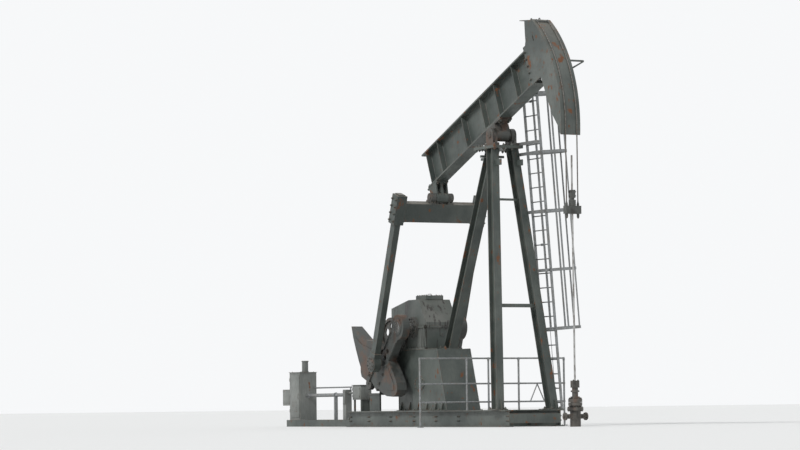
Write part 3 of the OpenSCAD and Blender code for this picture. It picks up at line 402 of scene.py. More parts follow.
def mirrored(spots):
    """The spots and after them their mirror images on the other side of the machine."""
    spots = np.atleast_2d(np.asarray(spots, float))
    return np.concatenate([spots, spots * [1, -1, 1]])


dark_paint = finished("dark_paint", weathered_coat, 0.0012, Rust=0.55, Dust=0.75, Wear=0.9,
                      Paint=(0.050, 0.062, 0.056, 1), Faded=(0.098, 0.112, 0.100, 1))
dress(dark_paint, "skid_beams", "skid_cross_members", "pedestal")

X_WAY, Y_WAY, Z_WAY = np.eye(3)
SIDES = np.array([-1.0, 1.0])
SKID_WEB = 0.628
CROSS_X = np.array([1.2, -0.9, -1.9, -2.9, -4.0, -5.05, -5.95])
WEB_BOLT = 0.034
WEB_BOLT_X = 0.03
WEB_BOLT_Z = [0.13, 0.225]
web_x = np.concatenate([CROSS_X - WEB_BOLT_X, CROSS_X + WEB_BOLT_X])
web_spots = crossing(web_x, [SKID_WEB], WEB_BOLT_Z)
web_out = np.tile(Y_WAY, (len(web_spots), 1))
add_piece("skid_web_bolts",
          hex_bolts(mirrored(web_spots), np.concatenate([web_out, -web_out]), WEB_BOLT),
          dark_paint, "base")


# Post. Three wide-flange legs meet under a thick cap plate; the front pair
# stands on the skid and the rear one on the pedestal, all bolted through
# welded foot plates with gussets.
def swept(path, radius, columns, reference):
    """Rings of a tube: a circle across the path at each point, radius times its angle,
    set out from a reference direction that never lies along the path."""
    path = np.asarray(path, float)
    tangent = np.gradient(path, axis=0)
    tangent /= np.linalg.norm(tangent, axis=1, keepdims=True)
    first = np.cross(np.broadcast_to(reference, path.shape), tangent)
    first /= np.linalg.norm(first, axis=1, keepdims=True)
    second = np.cross(tangent, first)
    angle = np.arange(columns) * 2 * math.pi / columns
    radius = np.broadcast_to(np.asarray(radius, float), len(path))[:, None, None]
    ring = first[:, None] * np.cos(angle)[:, None] + second[:, None] * np.sin(angle)[:, None]
    return path[:, None] + radius * ring


def bars(start, end, width, depth, corner, up=Z_WAY):
    """Rings of bars: a rounded rectangle carried from start to end, drawn in at both
    ends by the corner radius. Width lies across `up`, depth along it."""
    start = np.atleast_2d(np.asarray(start, float))
    end = np.atleast_2d(np.asarray(end, float))
    length = np.linalg.norm(end - start, axis=1, keepdims=True)
    along = (end - start) / length
    wide = np.cross(np.asarray(up, float), along)
    wide /= np.linalg.norm(wide, axis=1, keepdims=True)
    deep = np.cross(along, wide)
    angle = (np.arange(12) + 0.5) * math.pi / 6
    row = np.array([0.0, 0.3, 1.0])
    inset = np.concatenate([(1 - row) ** 2, (1 - row[::-1]) ** 2]) * corner
    reach = np.concatenate([row * corner * np.ones((len(start), 1)),
                            length - row[::-1] * corner], axis=1)
    half_w = (width / 2 - corner) + (corner - inset)[:, None] * np.abs(np.cos(angle))
    half_d = (depth / 2 - corner) + (corner - inset)[:, None] * np.abs(np.sin(angle))
    x = np.sign(np.cos(angle)) * half_w
    y = np.sign(np.sin(angle)) * half_d
    return (start[:, None, None] + reach[:, :, None, None] * along[:, None, None]
            + x[None, :, :, None] * wide[:, None, None] + y[None, :, :, None] * deep[:, None, None])


def plate(outline, thickness, origin, right, upward):
    """Rings of a flat plate: an outline in the plane of two directions, carried
    through its thickness to both sides of that plane. Twice its signed area, the
    sum of x times the next y less y times the next x, tells which way it runs."""
    outline = np.asarray(outline, float)
    ahead = np.roll(outline, -1, axis=0)
    if np.sum(outline[:, 0] * ahead[:, 1] - outline[:, 1] * ahead[:, 0]) < 0:
        outline = outline[::-1]
    right, upward = np.asarray(right, float), np.asarray(upward, float)
    flat = outline[:, :1] * right + outline[:, 1:] * upward
    normal = np.cross(right, upward)
    offset = np.array([-0.5, 0.5])[:, None, None] * thickness * normal
    return np.asarray(origin, float) + flat[None] + offset


LEG_FOOT = np.array([0.850, 0.661, 0.375])
LEG_HEAD = np.array([0.040, 0.240, 5.910])
REAR_FOOT = np.array([-2.340, 0.0, 1.720])
CAP_TOP = 5.970
CAP_UNDER = 5.910
POST_BOLT = 0.052
FOOT_BOLT_X = 0.145
REAR_BOLT_X = 0.100
dress(dark_paint, "front_legs", "rear_leg", "leg_braces", "post_cap")


def on_leg(height, sign):
    """The point of a front leg at a height: as far from its foot to its head as the
    height is, on the side that the sign gives."""
    share = (height - LEG_FOOT[2]) / (LEG_HEAD[2] - LEG_FOOT[2])
    return (LEG_FOOT + share * (LEG_HEAD - LEG_FOOT)) * [1, sign, 1]


foot_spots = mirrored(crossing(LEG_FOOT[0] + FOOT_BOLT_X * SIDES, [0.565, 0.765], [0.3755]))
rear_spots = crossing(REAR_FOOT[0] + REAR_BOLT_X * SIDES, 0.19 * SIDES, [1.7205])
cap_spots = np.array([[x, y, CAP_TOP] for x, y in (
    (-0.50, -0.32), (-0.38, -0.32), (-0.26, -0.32), (0.27, -0.32), (-0.50, 0.32),
    (-0.38, 0.32), (-0.26, 0.32), (-0.50, -0.1), (-0.50, 0.1), (0.27, -0.1), (0.27, 0.1))])
add_piece("post_bolts",
          hex_bolts(np.concatenate([foot_spots, rear_spots, cap_spots]), Z_WAY, POST_BOLT)
          + hex_bolts(cap_spots - (CAP_TOP - CAP_UNDER) * Z_WAY, -Z_WAY, POST_BOLT),
          dark_paint, "base")

FOOT_GUSSET = 0.014
CAP_GUSSET = 0.016
TAB_CORNER = 0.006
FRONT_TAB_X = [0.18, 0.44]
FRONT_TAB_Y = 0.262 * SIDES
BACK_BAR_X = -0.40
BACK_BAR_Y = 0.285
BACK_BAR_Z = 5.775
BACK_TAB_X = [-0.86, -0.50]
BACK_TAB_Z = 5.75
gusset = np.array([[0, 0], [0.12, 0], [0.12, 0.02], [0.02, 0.20], [0, 0.20]])
gussets = []
for sign in SIDES:
    root = on_leg(LEG_FOOT[2], sign)
    gussets.append(plate(gusset * [0.5, 1], FOOT_GUSSET, root + 0.118 * X_WAY, X_WAY, Z_WAY))
    gussets.append(plate(gusset * [-0.5, 1], FOOT_GUSSET, root - 0.128 * X_WAY, X_WAY, Z_WAY))
    top = on_leg(CAP_UNDER - 0.001, sign) - 0.006 * sign * Y_WAY
    gussets.append(plate(gusset * [1.3, -1.2], CAP_GUSSET, top, -sign * Y_WAY, Z_WAY))
bar_start, bar_end = ([spot] for spot in crossing([BACK_BAR_X], BACK_BAR_Y * SIDES, [BACK_BAR_Z]))
gussets.append(bars(bar_start, bar_end, 0.06, 0.05, TAB_CORNER))
tab_start, tab_end = ([[x, 0.0, BACK_TAB_Z]] for x in BACK_TAB_X)
gussets.append(bars(tab_start, tab_end, 0.05, 0.055, TAB_CORNER))
tab_start, tab_end = (crossing([x], FRONT_TAB_Y, [5.60]) for x in FRONT_TAB_X)
gussets.append(bars(tab_start, tab_end, 0.03, 0.13, TAB_CORNER))
add_piece("post_gussets", gussets, dark_paint, "base", 20.0)


# Pedestal. Plate box under the gear case: welded corners, a bolted hand hole
# cover on each side, gussets and anchor bolts along its foot.
PED_Y = 0.415
PED_FOOT = 0.3555
PED_OUTLINE = [(-1.790, 0.357), (-2.210, 1.699), (-4.400, 1.699), (-4.400, 1.250),
               (-4.000, 1.000), (-4.000, 0.357)]
PED_WELD = 0.008
ANGLE_W = 0.070
ANGLE_T = 0.015
ANGLE_X = [-3.995, -1.80]
ANCHOR_BOLT = 0.040
GUSSET_T = 0.012
COVER_T = 0.012
COVER_R = 0.130
COVER_HALF_FLAT = 0.090
COVER_BOLT = 0.026
SEAT_GAP = 0.0005
COVER_AT = (-3.020, 0.950)


def uneven(radius, count):
    """The radius of a weld along its length: a wave of about a sixth of it."""
    return radius * (1 + 0.16 * np.sin(np.arange(count) * 1.7))


def beads(paths, radius):
    """Weld beads: thin tubes whose radius swells and shrinks along each path, with
    two rings in every 20 mm."""
    shells = []
    for path in paths:
        steps = np.linspace(0, 1, 2 + 2 * int(np.linalg.norm(path[-1] - path[0]) / 0.02))
        places = path[0] + (path[-1] - path[0]) * steps[:, None]
        shells.append(swept(places, uneven(radius, len(steps)), 6, (0.3, 1.0, 0.2)))
    return shells


hole_angle = (np.arange(32) + 0.5) * math.pi / 16
cover_x = np.sign(np.cos(hole_angle)) * COVER_HALF_FLAT + COVER_R * np.cos(hole_angle)
cover_outline = np.stack([cover_x, COVER_R * np.sin(hole_angle)], -1)
gusset_x = np.array([-3.85, -3.45, -3.05, -2.65, -2.25, -1.95])
foot_bolt_x = (gusset_x[1:] + gusset_x[:-1]) / 2
ped_shells = []
for sign in SIDES:
    out = sign * Y_WAY
    corner = np.array([[x, sign * (PED_Y + 0.001), z] for x, z in PED_OUTLINE])
    ped_shells += beads([corner[step:step + 2] for step in range(len(corner) - 1)], PED_WELD)
    angle_y = sign * (PED_Y + 0.036)
    angle_start, angle_end = ([[x, angle_y, PED_FOOT + 0.008]] for x in ANGLE_X)
    ped_shells.append(bars(angle_start, angle_end, ANGLE_W, ANGLE_T, 0.003))
    for x in gusset_x:
        shape = [(0.001, 0.015), (0.060, 0.015), (0.060, 0.030), (0.012, 0.190), (0.001, 0.190)]
        ped_shells.append(plate(shape, GUSSET_T, (x, sign * PED_Y, PED_FOOT), out, Z_WAY))
    foot_spots = crossing(foot_bolt_x, [angle_y], [PED_FOOT + 0.0160])
    ped_shells += hex_bolts(foot_spots, Z_WAY, ANCHOR_BOLT)
    lid_at = (COVER_AT[0], sign * (PED_Y + COVER_T / 2 + SEAT_GAP), COVER_AT[1])
    ped_shells.append(plate(cover_outline, COVER_T, lid_at, X_WAY, Z_WAY))
    lid_y = sign * (PED_Y + COVER_T + 2 * SEAT_GAP)
    lid_spots = np.insert(cover_outline[::4] * 0.86 + COVER_AT, 1, lid_y, axis=1)
    ped_shells += hex_bolts(lid_spots, out, COVER_BOLT, 0.2)
add_piece("pedestal_fittings", ped_shells, dark_paint, "base")


# Saddle bearing. Two pillow blocks on the cap plate hold the shaft that is
# clamped under the beam. Old castings, greasy round the shaft.
def build_cast_coat():
    """Old casting: sand grain, brown rust in patches, dark wet oil film in others."""
    tree, wanted, given = coat_tree("cast_coat", Paint=COLOUR, Oil=FLOAT, Rust=FLOAT)
    place = wanted["Coordinates"]
    patches = noise(tree, place, 2.6, 6)
    film = noise(tree, place, 4.2, 4, (1.0, 1.0, 0.45))
    grain = noise(tree, place, 150.0, 3)
    lumps = noise(tree, place, 38.0, 2)
    rusted = times(tree, spread(tree, patches, 0.46, 0.62), wanted["Rust"])
    rust_tone = blend_colour(tree, grain, (0.07, 0.034, 0.02, 1), (0.17, 0.078, 0.04, 1))
    base = blend_colour(tree, rusted, wanted["Paint"], rust_tone)
    worn = times(tree, edge_mask(tree, 0.010), spread(tree, lumps, 0.35, 0.6, 0.0, 0.7))
    base = blend_colour(tree, worn, base, (0.15, 0.125, 0.10, 1))
    oiled = times(tree, spread(tree, film, 0.50, 0.64), wanted["Oil"])
    base = blend_colour(tree, oiled, base, (0.018, 0.016, 0.013, 1))
    rough = spread(tree, oiled, 0.0, 1.0, 0.62, 0.30)
    height = plus(tree, times(tree, grain, 0.5), times(tree, lumps, 0.5))
    return finish_coat(tree, given, base, rough, height)


cast_coat = build_cast_coat()
cast_iron = finished("cast_iron", cast_coat, 0.0016, Oil=0.8, Rust=0.55,
                     Paint=(0.075, 0.078, 0.072, 1))
dress(cast_iron, "saddle_housings", "saddle_shaft")

SADDLE_Z = 6.200
BLOCK_BOLT = 0.056
block_spots = mirrored([[-0.19, 0.235, 6.030], [0.19, 0.235, 6.030]])
add_piece("saddle_block_bolts", hex_bolts(block_spots, Z_WAY, BLOCK_BOLT),
          cast_iron, "base")


def ring_spots(centre, radius, count, axis, phase=0.0):
    """Evenly spaced places on a circle about an axis through the centre."""
    side, up, _ = across(np.asarray(axis, float))
    angle = phase + np.arange(count)[:, None] * 2 * math.pi / count
    return np.asarray(centre, float) + radius * (side * np.cos(angle) + up * np.sin(angle))


def bolted_cover(x, y, z, radius, rise, bolts, size):
    """Round cover on the outer side of a bearing at both sides of the machine:
    stepped disc with a ring of bolts and a grease nipple in the middle."""
    shells = []
    for sign in SIDES:
        face = np.array([x, sign * y, z])
        out = sign * Y_WAY
        disc = [(radius, 0), (radius, rise * 0.6), (radius * 0.94, rise), (radius * 0.55, rise),
                (radius * 0.5, rise * 1.5), (radius * 0.2, rise * 1.6)]
        nipple = [(0.008, 0), (0.008, 0.012), (0.005, 0.016), (0.006, 0.022), (0.003, 0.026)]
        shells += [turned(disc, 40, face, out), turned(nipple, 8, face + out * rise * 1.6, out)]
        rim = ring_spots(face + out * rise, radius * 0.8, bolts, out, 0.3)
        shells += hex_bolts(rim, out, size, 0.3)
    return shells


SHAFT_END = 0.302
SHAFT_COVER_R = 0.062
SHAFT_COVER_T = 0.008
SHAFT_COVER_BOLT = 0.018
shaft_covers = bolted_cover(0, SHAFT_END + SEAT_GAP, SADDLE_Z, SHAFT_COVER_R, SHAFT_COVER_T,
                            4, SHAFT_COVER_BOLT)
add_piece("saddle_shaft_covers", shaft_covers, cast_iron, "beam")


# Ladder and cage. Flat bar stringers, round rungs, hoops and straps, all hot
# dip galvanised, with a steel climbing cable down the middle of the rungs.
ZINC_DARK = (0.19, 0.20, 0.205, 1)
ZINC_LIGHT = (0.31, 0.32, 0.32, 1)
CHALK_FILM = (0.24, 0.235, 0.22, 1)
RUST_SPOT = (0.17, 0.075, 0.035, 1)


def build_zinc_coat():
    """Zinc: flat crystals of slightly different grey, a chalky film, rust at scratches."""
    tree, wanted, given = coat_tree("zinc_coat", Rust=FLOAT)
    place = wanted["Coordinates"]
    crystals = node_of(tree, "TexVoronoi", Scale=46.0, Vector=place)
    tint = node_of(tree, "SeparateXYZ", Vector=crystals.outputs["Color"])
    film = noise(tree, place, 6.0, 6)
    scratch = noise(tree, place, 60.0, 5, (1.0, 1.0, 0.2))
    base = blend_colour(tree, tint.outputs["X"], ZINC_DARK, ZINC_LIGHT)
    base = blend_colour(tree, spread(tree, film, 0.44, 0.68, 0.0, 0.75), base, CHALK_FILM)
    spots = times(tree, spread(tree, scratch, 0.60, 0.70), spread(tree, film, 0.5, 0.62))
    spots = times(tree, spots, wanted["Rust"])
    base = blend_colour(tree, spots, base, RUST_SPOT)
    rough = spread(tree, film, 0.3, 0.7, 0.40, 0.68)
    height = plus(tree, times(tree, scratch, 0.6), times(tree, spots, 0.6))
    return finish_coat(tree, given, base, rough, height)


zinc = finished("zinc", build_zinc_coat(), 0.0006, Rust=0.9, metallic=0.6)
dress(zinc, "ladder", "cage_hoops", "cage_straps", "ladder_brackets", "guard_rail",
      "hand_rail", "service_pipe")

LADDER_X = 0.665
LADDER_Y = 0.870
LADDER_LEAN = math.atan2(LEG_FOOT[1] - LEG_HEAD[1], LEG_HEAD[2] - LEG_FOOT[2])
STRINGER_X = 0.275
HOOP_Z = 2.026 + 1.25 * np.arange(5)
HOOP_OUT = 0.373
CAGE_R = 0.365
STRAP_TURN = np.radians([-52, -18, 18, 52])
STRAP_BOLT = 0.022
CABLE_R = 0.006
CABLE_Y = 0.034
CABLE_Z = np.linspace(0.55, 6.95, 60)
CLIP_X = 0.06
CLIP_Z = (0.80, 3.85, 6.90)


def on_ladder(spots):
    """Places given beside the upright ladder, carried to where it leans."""
    x, y, z = np.moveaxis(np.asarray(spots, float), -1, 0)
    c, s = math.cos(LADDER_LEAN), math.sin(LADDER_LEAN)
    return np.stack([LADDER_X + x, LADDER_Y + y * c - z * s, y * s + z * c], -1)


turn_grid, hoop_grid = np.meshgrid(STRAP_TURN, HOOP_Z + 0.030, indexing="ij")
rivet_out = np.stack([-np.sin(turn_grid), np.cos(turn_grid), 0 * turn_grid], -1).reshape(-1, 3)
hoop_middle = np.stack([0 * hoop_grid, CAGE_R + 0 * hoop_grid, hoop_grid], -1).reshape(-1, 3)
rivet_at = rivet_out * HOOP_OUT + hoop_middle
rivet_shape = [(0.011, 0), (0.011, 0.002), (0.009, 0.006), (0.005, 0.009), (0.001, 0.0095)]
rivets = turned(rivet_shape, 10, on_ladder(rivet_at), on_ladder(rivet_out) - on_ladder([0, 0, 0]))
cable_path = on_ladder(crossing([0.0], [CABLE_Y], CABLE_Z))
clips = [bars(on_ladder([[-CLIP_X, 0.016, z]]), on_ladder([[CLIP_X, 0.016, z]]), 0.03, 0.05, 0.004)
         for z in CLIP_Z]
stringer_spots = crossing(STRINGER_X * SIDES, [-0.034], HOOP_Z + 0.02)
add_piece("cage_rivets_and_cable",
          [rivets, swept(cable_path, CABLE_R, 8, X_WAY)] + clips
          + hex_bolts(on_ladder(stringer_spots), -Y_WAY, STRAP_BOLT),
          zinc, "base")


# Gear reducer. A cast case split at shaft height, bolted all round, with ribs
# under the split, a bolted hatch, breather, sight glass, plugs and oil runs.
def build_oily_coat():
    """Paint on machinery: dull and dusty, with dark shiny oil running down from joints."""
    tree, wanted, given = coat_tree("oily_coat", Paint=COLOUR, Oil=FLOAT)
    place = wanted["Coordinates"]
    broad = noise(tree, place, 1.6, 4)
    runs = noise(tree, place, 9.0, 5, (1.0, 1.0, 0.09))
    dust = noise(tree, place, 22.0, 6)
    skin = noise(tree, place, 80.0, 3)
    base = blend_colour(tree, spread(tree, broad, 0.36, 0.64), wanted["Paint"],
                        (0.115, 0.122, 0.112, 1))
    worn = times(tree, edge_mask(tree, 0.008), spread(tree, dust, 0.42, 0.6))
    base = blend_colour(tree, worn, base, (0.15, 0.078, 0.045, 1))
    settled = times(tree, spread(tree, upward(tree), 0.4, 0.98),
                    spread(tree, dust, 0.3, 0.7, 0.4, 0.9))
    base = blend_colour(tree, settled, base, (0.27, 0.235, 0.19, 1))
    oiled = times(tree, spread(tree, runs, 0.52, 0.60), wanted["Oil"])
    base = blend_colour(tree, oiled, base, (0.02, 0.017, 0.013, 1))
    rough = spread(tree, oiled, 0.0, 1.0, 0.52, 0.24)
    height = plus(tree, times(tree, skin, 0.4), times(tree, worn, -0.5))
    return finish_coat(tree, given, base, rough, height)


oily_coat = build_oily_coat()
case_paint = finished("case_paint", oily_coat, 0.0009, Paint=(0.066, 0.080, 0.072, 1), Oil=0.85)
dress(case_paint, "gear_case", "inspection_cover")
dress(cast_iron, "shaft_bearing_caps")

SHAFT = np.array([-3.300, 0.0, 2.200])
CASE_Y = 0.390
SPLIT_TOP = 2.222
SPLIT_FOOT = 2.178
CASE_BOLT = 0.024
HATCH_BOLT = 0.030
HATCH_X = [-3.48, -3.08]
HATCH_TOP = 2.900
RIB_W = 0.030
RIB_T = 0.022
RIB_FOOT = 1.745
RIB_H = 0.432
split_x = np.concatenate([np.arange(-4.30, -3.60, 0.135), [-2.98, -2.86, -2.76]])
split_side = mirrored(crossing(split_x, [CASE_Y + 0.0135], [SPLIT_TOP]))
split_end = crossing([-4.371, -2.729], np.arange(-0.33, 0.34, 0.11), [SPLIT_TOP])
split_all = np.concatenate([split_side, split_end])
foot_x = np.arange(-4.30, -2.75, 0.19)
case_foot = mirrored(crossing(foot_x, [CASE_Y + 0.0125], [1.744]))
hatch = np.concatenate([crossing(np.linspace(*HATCH_X, 5), 0.190 * SIDES, [HATCH_TOP]),
                        crossing(HATCH_X, 0.065 * SIDES, [HATCH_TOP])])
case_shells = hex_bolts(split_all, Z_WAY, CASE_BOLT)
case_shells += hex_bolts(split_all - (SPLIT_TOP - SPLIT_FOOT) * Z_WAY, -Z_WAY, CASE_BOLT, 0.2)
case_shells += hex_bolts(case_foot, Z_WAY, CASE_BOLT, 0.3)
case_shells += hex_bolts(hatch, Z_WAY, HATCH_BOLT, 0.1)
rib_x = np.array([-4.27, -3.82, -3.68, -2.94, -2.82])
for sign in SIDES:
    rib_foot = crossing(rib_x, [sign * (CASE_Y + 0.006)], [RIB_FOOT])
    case_shells.append(bars(rib_foot, rib_foot + RIB_H * Z_WAY, RIB_W, RIB_T, 0.004, X_WAY))
breather = [(0.024, -0.03), (0.024, 0.02), (0.016, 0.022), (0.016, 0.034), (0.034, 0.038),
            (0.036, 0.056), (0.030, 0.068), (0.004, 0.072)]
plug = [(0.026, 0), (0.026, 0.006), (0.018, 0.008), (0.018, 0.024), (0.015, 0.027),
        (0.003, 0.027)]
sight = [(0.032, 0), (0.032, 0.012), (0.027, 0.015), (0.022, 0.010), (0.002, 0.010)]
case_shells += [turned(breather, 24, (-3.78, 0.17, 2.762), Z_WAY),
                turned(plug, 24, [(-4.36, -0.2, 1.80), (-4.36, 0.2, 1.80)], -X_WAY),
                turned(sight, 28, [(-2.740, 0.0, 2.02)], X_WAY)]
handle_path = np.array([[-3.36, 0.0, 2.899], [-3.36, 0.0, 2.925], [-3.34, 0.0, 2.936],
                        [-3.22, 0.0, 2.936], [-3.20, 0.0, 2.925], [-3.20, 0.0, 2.899]])
HANDLE_R = 0.007
case_shells.append(swept(handle_path, HANDLE_R, 10, Y_WAY))
add_piece("case_bolts_and_ribs", case_shells, case_paint, "base")

CAP_BOLT = 0.038
CAP_BOLT_RING = 0.195
cap_face = CASE_Y + 0.0705
cap_shells = []
for sign in SIDES:
    out = sign * Y_WAY
    cap_middle = SHAFT + cap_face * out
    rim = ring_spots(cap_middle, CAP_BOLT_RING, 10, out, 0.15)
    cap_shells += hex_bolts(rim, out, CAP_BOLT, 0.3)
    lip = [(0.128, 0), (0.160, 0), (0.160, 0.010), (0.150, 0.016), (0.128, 0.016)]
    cap_shells.append([turned(lip, 48, cap_middle, out)])
add_piece("bearing_cap_bolts", cap_shells, cast_iron, "base")


# Input side. Grooved sheave with five V belts down to the motor on the near
# side, and a brake drum with its band and lever on the far one.
def build_belt_coat():
    """Rubber: black, dusted grey, with fine cracks across the running direction."""
    tree, wanted, given = coat_tree("belt_coat")
    place = wanted["Coordinates"]
    dust = noise(tree, place, 12.0, 5)
    cracks = noise(tree, place, 70.0, 6, (1.0, 0.1, 1.0))
    base = blend_colour(tree, spread(tree, dust, 0.4, 0.7, 0.0, 0.6), (0.016, 0.016, 0.017, 1),
                        (0.075, 0.070, 0.062, 1))
    return finish_coat(tree, given, base, spread(tree, dust, 0.3, 0.7, 0.6, 0.85), cracks)


belt_rubber = finished("belt_rubber", build_belt_coat(), 0.0008)
dress(cast_iron, "sheaves", "brake_drum")
INPUT = np.array([-4.130, 0.0, 2.000])
MOTOR = np.array([-5.200, 0.0, 0.980])
BELT_Y = -0.500
BELT_PITCH = 0.0175
BELT_COUNT = 5
BELT_HALF_DEEP = 0.0055
BELT_HALF_BACK = 0.0080
BELT_HALF_ROOT = 0.0050
BIG_R = 0.436
SMALL_R = 0.136


def belt_loop(grow):
    """Places along a belt: half way round each sheave and straight along both
    outer tangents, offset outward by the growth."""
    span = np.array([INPUT[0] - MOTOR[0], INPUT[2] - MOTOR[2]])
    reach = np.linalg.norm(span)
    heading_up = math.atan2(span[1], span[0])
    lift = math.asin((BIG_R - SMALL_R) / reach)
    big = heading_up + np.linspace(-math.pi / 2 - lift, math.pi / 2 + lift, 40)
    small = heading_up + np.linspace(math.pi / 2 + lift, 3 * math.pi / 2 - lift, 20)
    share = np.linspace(0, 1, 26)[1:-1, None]
    ends = []
    for centre, radius, angle in ((INPUT, BIG_R, big), (MOTOR, SMALL_R, small)):
        outward = np.stack([np.cos(angle), np.sin(angle)], -1)
        ends.append(centre[[0, 2]] + (radius + grow) * outward)
    far, near = ends
    return np.concatenate([far, far[-1] + (near[0] - far[-1]) * share, near,
                           near[-1] + (far[0] - near[-1]) * share])


outer_loop, inner_loop = belt_loop(BELT_HALF_DEEP), belt_loop(-BELT_HALF_DEEP)
belt_corners = ((outer_loop, -BELT_HALF_BACK), (outer_loop, BELT_HALF_BACK),
                (inner_loop, BELT_HALF_ROOT), (inner_loop, -BELT_HALF_ROOT))
belt_rings = []
for middle in BELT_Y + (np.arange(BELT_COUNT) - BELT_COUNT // 2) * BELT_PITCH:
    belt_rings.append(np.stack([np.insert(loop, 1, middle + half, axis=1)
                                for loop, half in belt_corners], 1))
belts = add_piece("v_belts", [[np.stack(belt_rings)]], belt_rubber, "base", 50.0)
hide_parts("drive_belts")

HUB_FACE = -0.5515
HUB_RING = 0.068
HUB_BOLT = 0.024
INPUT_NUT = 0.060
MOTOR_NUT = 0.046
DRUM_RING = 0.070
DRUM_BOLT = 0.026
LEVER_R = 0.010
BAND_X = 0.226
hub_middle = (INPUT[0], HUB_FACE, INPUT[2])
hub_shells = hex_bolts(ring_spots(hub_middle, HUB_RING, 6, -Y_WAY), -Y_WAY, HUB_BOLT, 0.2)
hub_shells += hex_bolts([hub_middle], -Y_WAY, INPUT_NUT, 0.1)
hub_shells += hex_bolts([(MOTOR[0], HUB_FACE, MOTOR[2])], -Y_WAY, MOTOR_NUT, 0.1)
drum_y = CASE_Y + 0.040
band = [(0.2105, 0), (0.2185, 0), (0.2185, 0.058), (0.2105, 0.058)]
hub_shells.append([turned(band, 72, INPUT + drum_y * Y_WAY, Y_WAY)])
lug = INPUT + [-BAND_X, drum_y + 0.029, 0]
hub_shells.append(bars([lug - 0.05 * Z_WAY], [lug + 0.05 * Z_WAY], 0.03, 0.05, 0.004, X_WAY))
lever_path = lug + [[0, 0, -0.04], [-0.02, 0, -0.25], [-0.06, 0, -0.45]]
hub_shells.append(swept(lever_path, LEVER_R, 10, Y_WAY))
drum_middle = INPUT + (CASE_Y + 0.1155) * Y_WAY
hub_shells += hex_bolts(ring_spots(drum_middle, DRUM_RING, 6, Y_WAY), Y_WAY, DRUM_BOLT, 0.2)
add_piece("hub_bolts_and_brake_band", hub_shells, cast_iron, "base")


# Motor. A foot mounted induction motor: ribbed frame, bell ends, fan cover
# with a ringed grille, terminal box, lifting eye and a keyed shaft.
def ribbed(radius, rise, count, lengths, centre, axis):
    """Rings of a cylinder with ribs along it: the radius alternates between the
    root and the rib as the angle goes round, flat at both ends."""
    columns = count * 4
    wave = np.tile([0.0, 1.0, 1.0, 0.0], count)
    shown = np.ones(len(lengths))
    shown[[0, -1]] = 0.0
    height = np.asarray(lengths, float)[:, None]
    angle = np.arange(columns) * 2 * math.pi / columns
    r = radius + rise * wave * shown[:, None]
    local = np.stack([r * np.cos(angle), r * np.sin(angle), height + 0 * angle], -1)
    turn = across(np.asarray(axis, float))
    return (np.asarray(centre, float) + local @ turn)[None]


motor_paint = finished("motor_paint", oily_coat, 0.0009, Paint=(0.060, 0.070, 0.074, 1), Oil=0.6)
dress(dark_paint, "motor_mount")
RIB_COUNT = 40
FRAME_R = 0.170
RIB_RISE = 0.020
FOOT_X = 0.115
TERMINAL = MOTOR + [0.165, 0, 0.09]
TERMINAL_LID = MOTOR + [0.218, 0, 0.09]
EYE_R = 0.022
EYE_WIRE = 0.007
BELL_RING = 0.150
BELL_BOLT = 0.022
HOLD_DOWN_X = 0.125
HOLD_DOWN_BOLT = 0.028
bell = [(0.05, -0.280), (0.09, -0.280), (0.165, -0.262), (0.178, -0.250), (0.178, -0.215)]
shaft_end = [(0.028, -0.449), (0.028, -0.275)]
tail_bell = [(0.178, 0.215), (0.178, 0.262), (0.170, 0.280)]
fan_cover = [(0.196, 0.272), (0.205, 0.280), (0.205, 0.345), (0.196, 0.362), (0.172, 0.370),
             (0.168, 0.364), (0.150, 0.364), (0.146, 0.370), (0.126, 0.370), (0.122, 0.364),
             (0.104, 0.364), (0.100, 0.370), (0.080, 0.370), (0.076, 0.364), (0.058, 0.364),
             (0.054, 0.370), (0.004, 0.370)]
motor_shells = [turned(profile, 64, MOTOR, Y_WAY) for profile in (bell, tail_bell, fan_cover)]
motor_shells.append(turned(shaft_end, 32, MOTOR, Y_WAY))
rib_ends = [-0.222, -0.216, 0.216, 0.222]
motor_shells.append(ribbed(FRAME_R, RIB_RISE, RIB_COUNT, rib_ends, MOTOR, Y_WAY))
for sign in SIDES:
    pad = MOTOR + [FOOT_X * sign, -0.20, -0.185]
    motor_shells.append(bars([pad], [pad + 0.40 * Y_WAY], 0.085, 0.070, 0.008))
motor_shells.append(bars([TERMINAL - 0.09 * Y_WAY], [TERMINAL + 0.09 * Y_WAY], 0.10, 0.13, 0.010))
motor_shells.append(bars([TERMINAL_LID - 0.084 * Y_WAY], [TERMINAL_LID + 0.084 * Y_WAY],
                         0.012, 0.12, 0.005))
ring = np.linspace(0, 2 * math.pi, 25)[:-1]
eye_path = MOTOR + np.stack([EYE_R * np.cos(ring), 0 * ring, 0.212 + EYE_R * np.sin(ring)], -1)
motor_shells.append([swept(eye_path, EYE_WIRE, 8, Y_WAY)])
bell_bolts = ring_spots(MOTOR - 0.262 * Y_WAY, BELL_RING, 6, -Y_WAY)
motor_shells += hex_bolts(bell_bolts, -Y_WAY, BELL_BOLT, 0.1)
hold_downs = crossing(MOTOR[0] + HOLD_DOWN_X * SIDES, 0.16 * SIDES, [0.829])
motor_shells += hex_bolts(hold_downs, Z_WAY, HOLD_DOWN_BOLT, 0.3)
motor = add_piece("ribbed_motor", motor_shells, motor_paint, "base")
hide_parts("motor")


# Walking beam. A deep welded I beam with stiffeners; the clamp plates of the
# saddle shaft and of the tail bearing are bolted through its lower flange.
BEAM_TILT = math.radians(22.0)
BEAM_FOOT = 0.268
BEAM_TOP = 1.083
FLANGE = 0.034
BEAM_WELD = 0.0065
BEAM_BOLT = 0.050
U_WAY = np.array([math.cos(BEAM_TILT), 0.0, math.sin(BEAM_TILT)])
W_WAY = np.array([-math.sin(BEAM_TILT), 0.0, math.cos(BEAM_TILT)])
dress(dark_paint, "walking_beam", "beam_stiffeners", "tail_bracket")


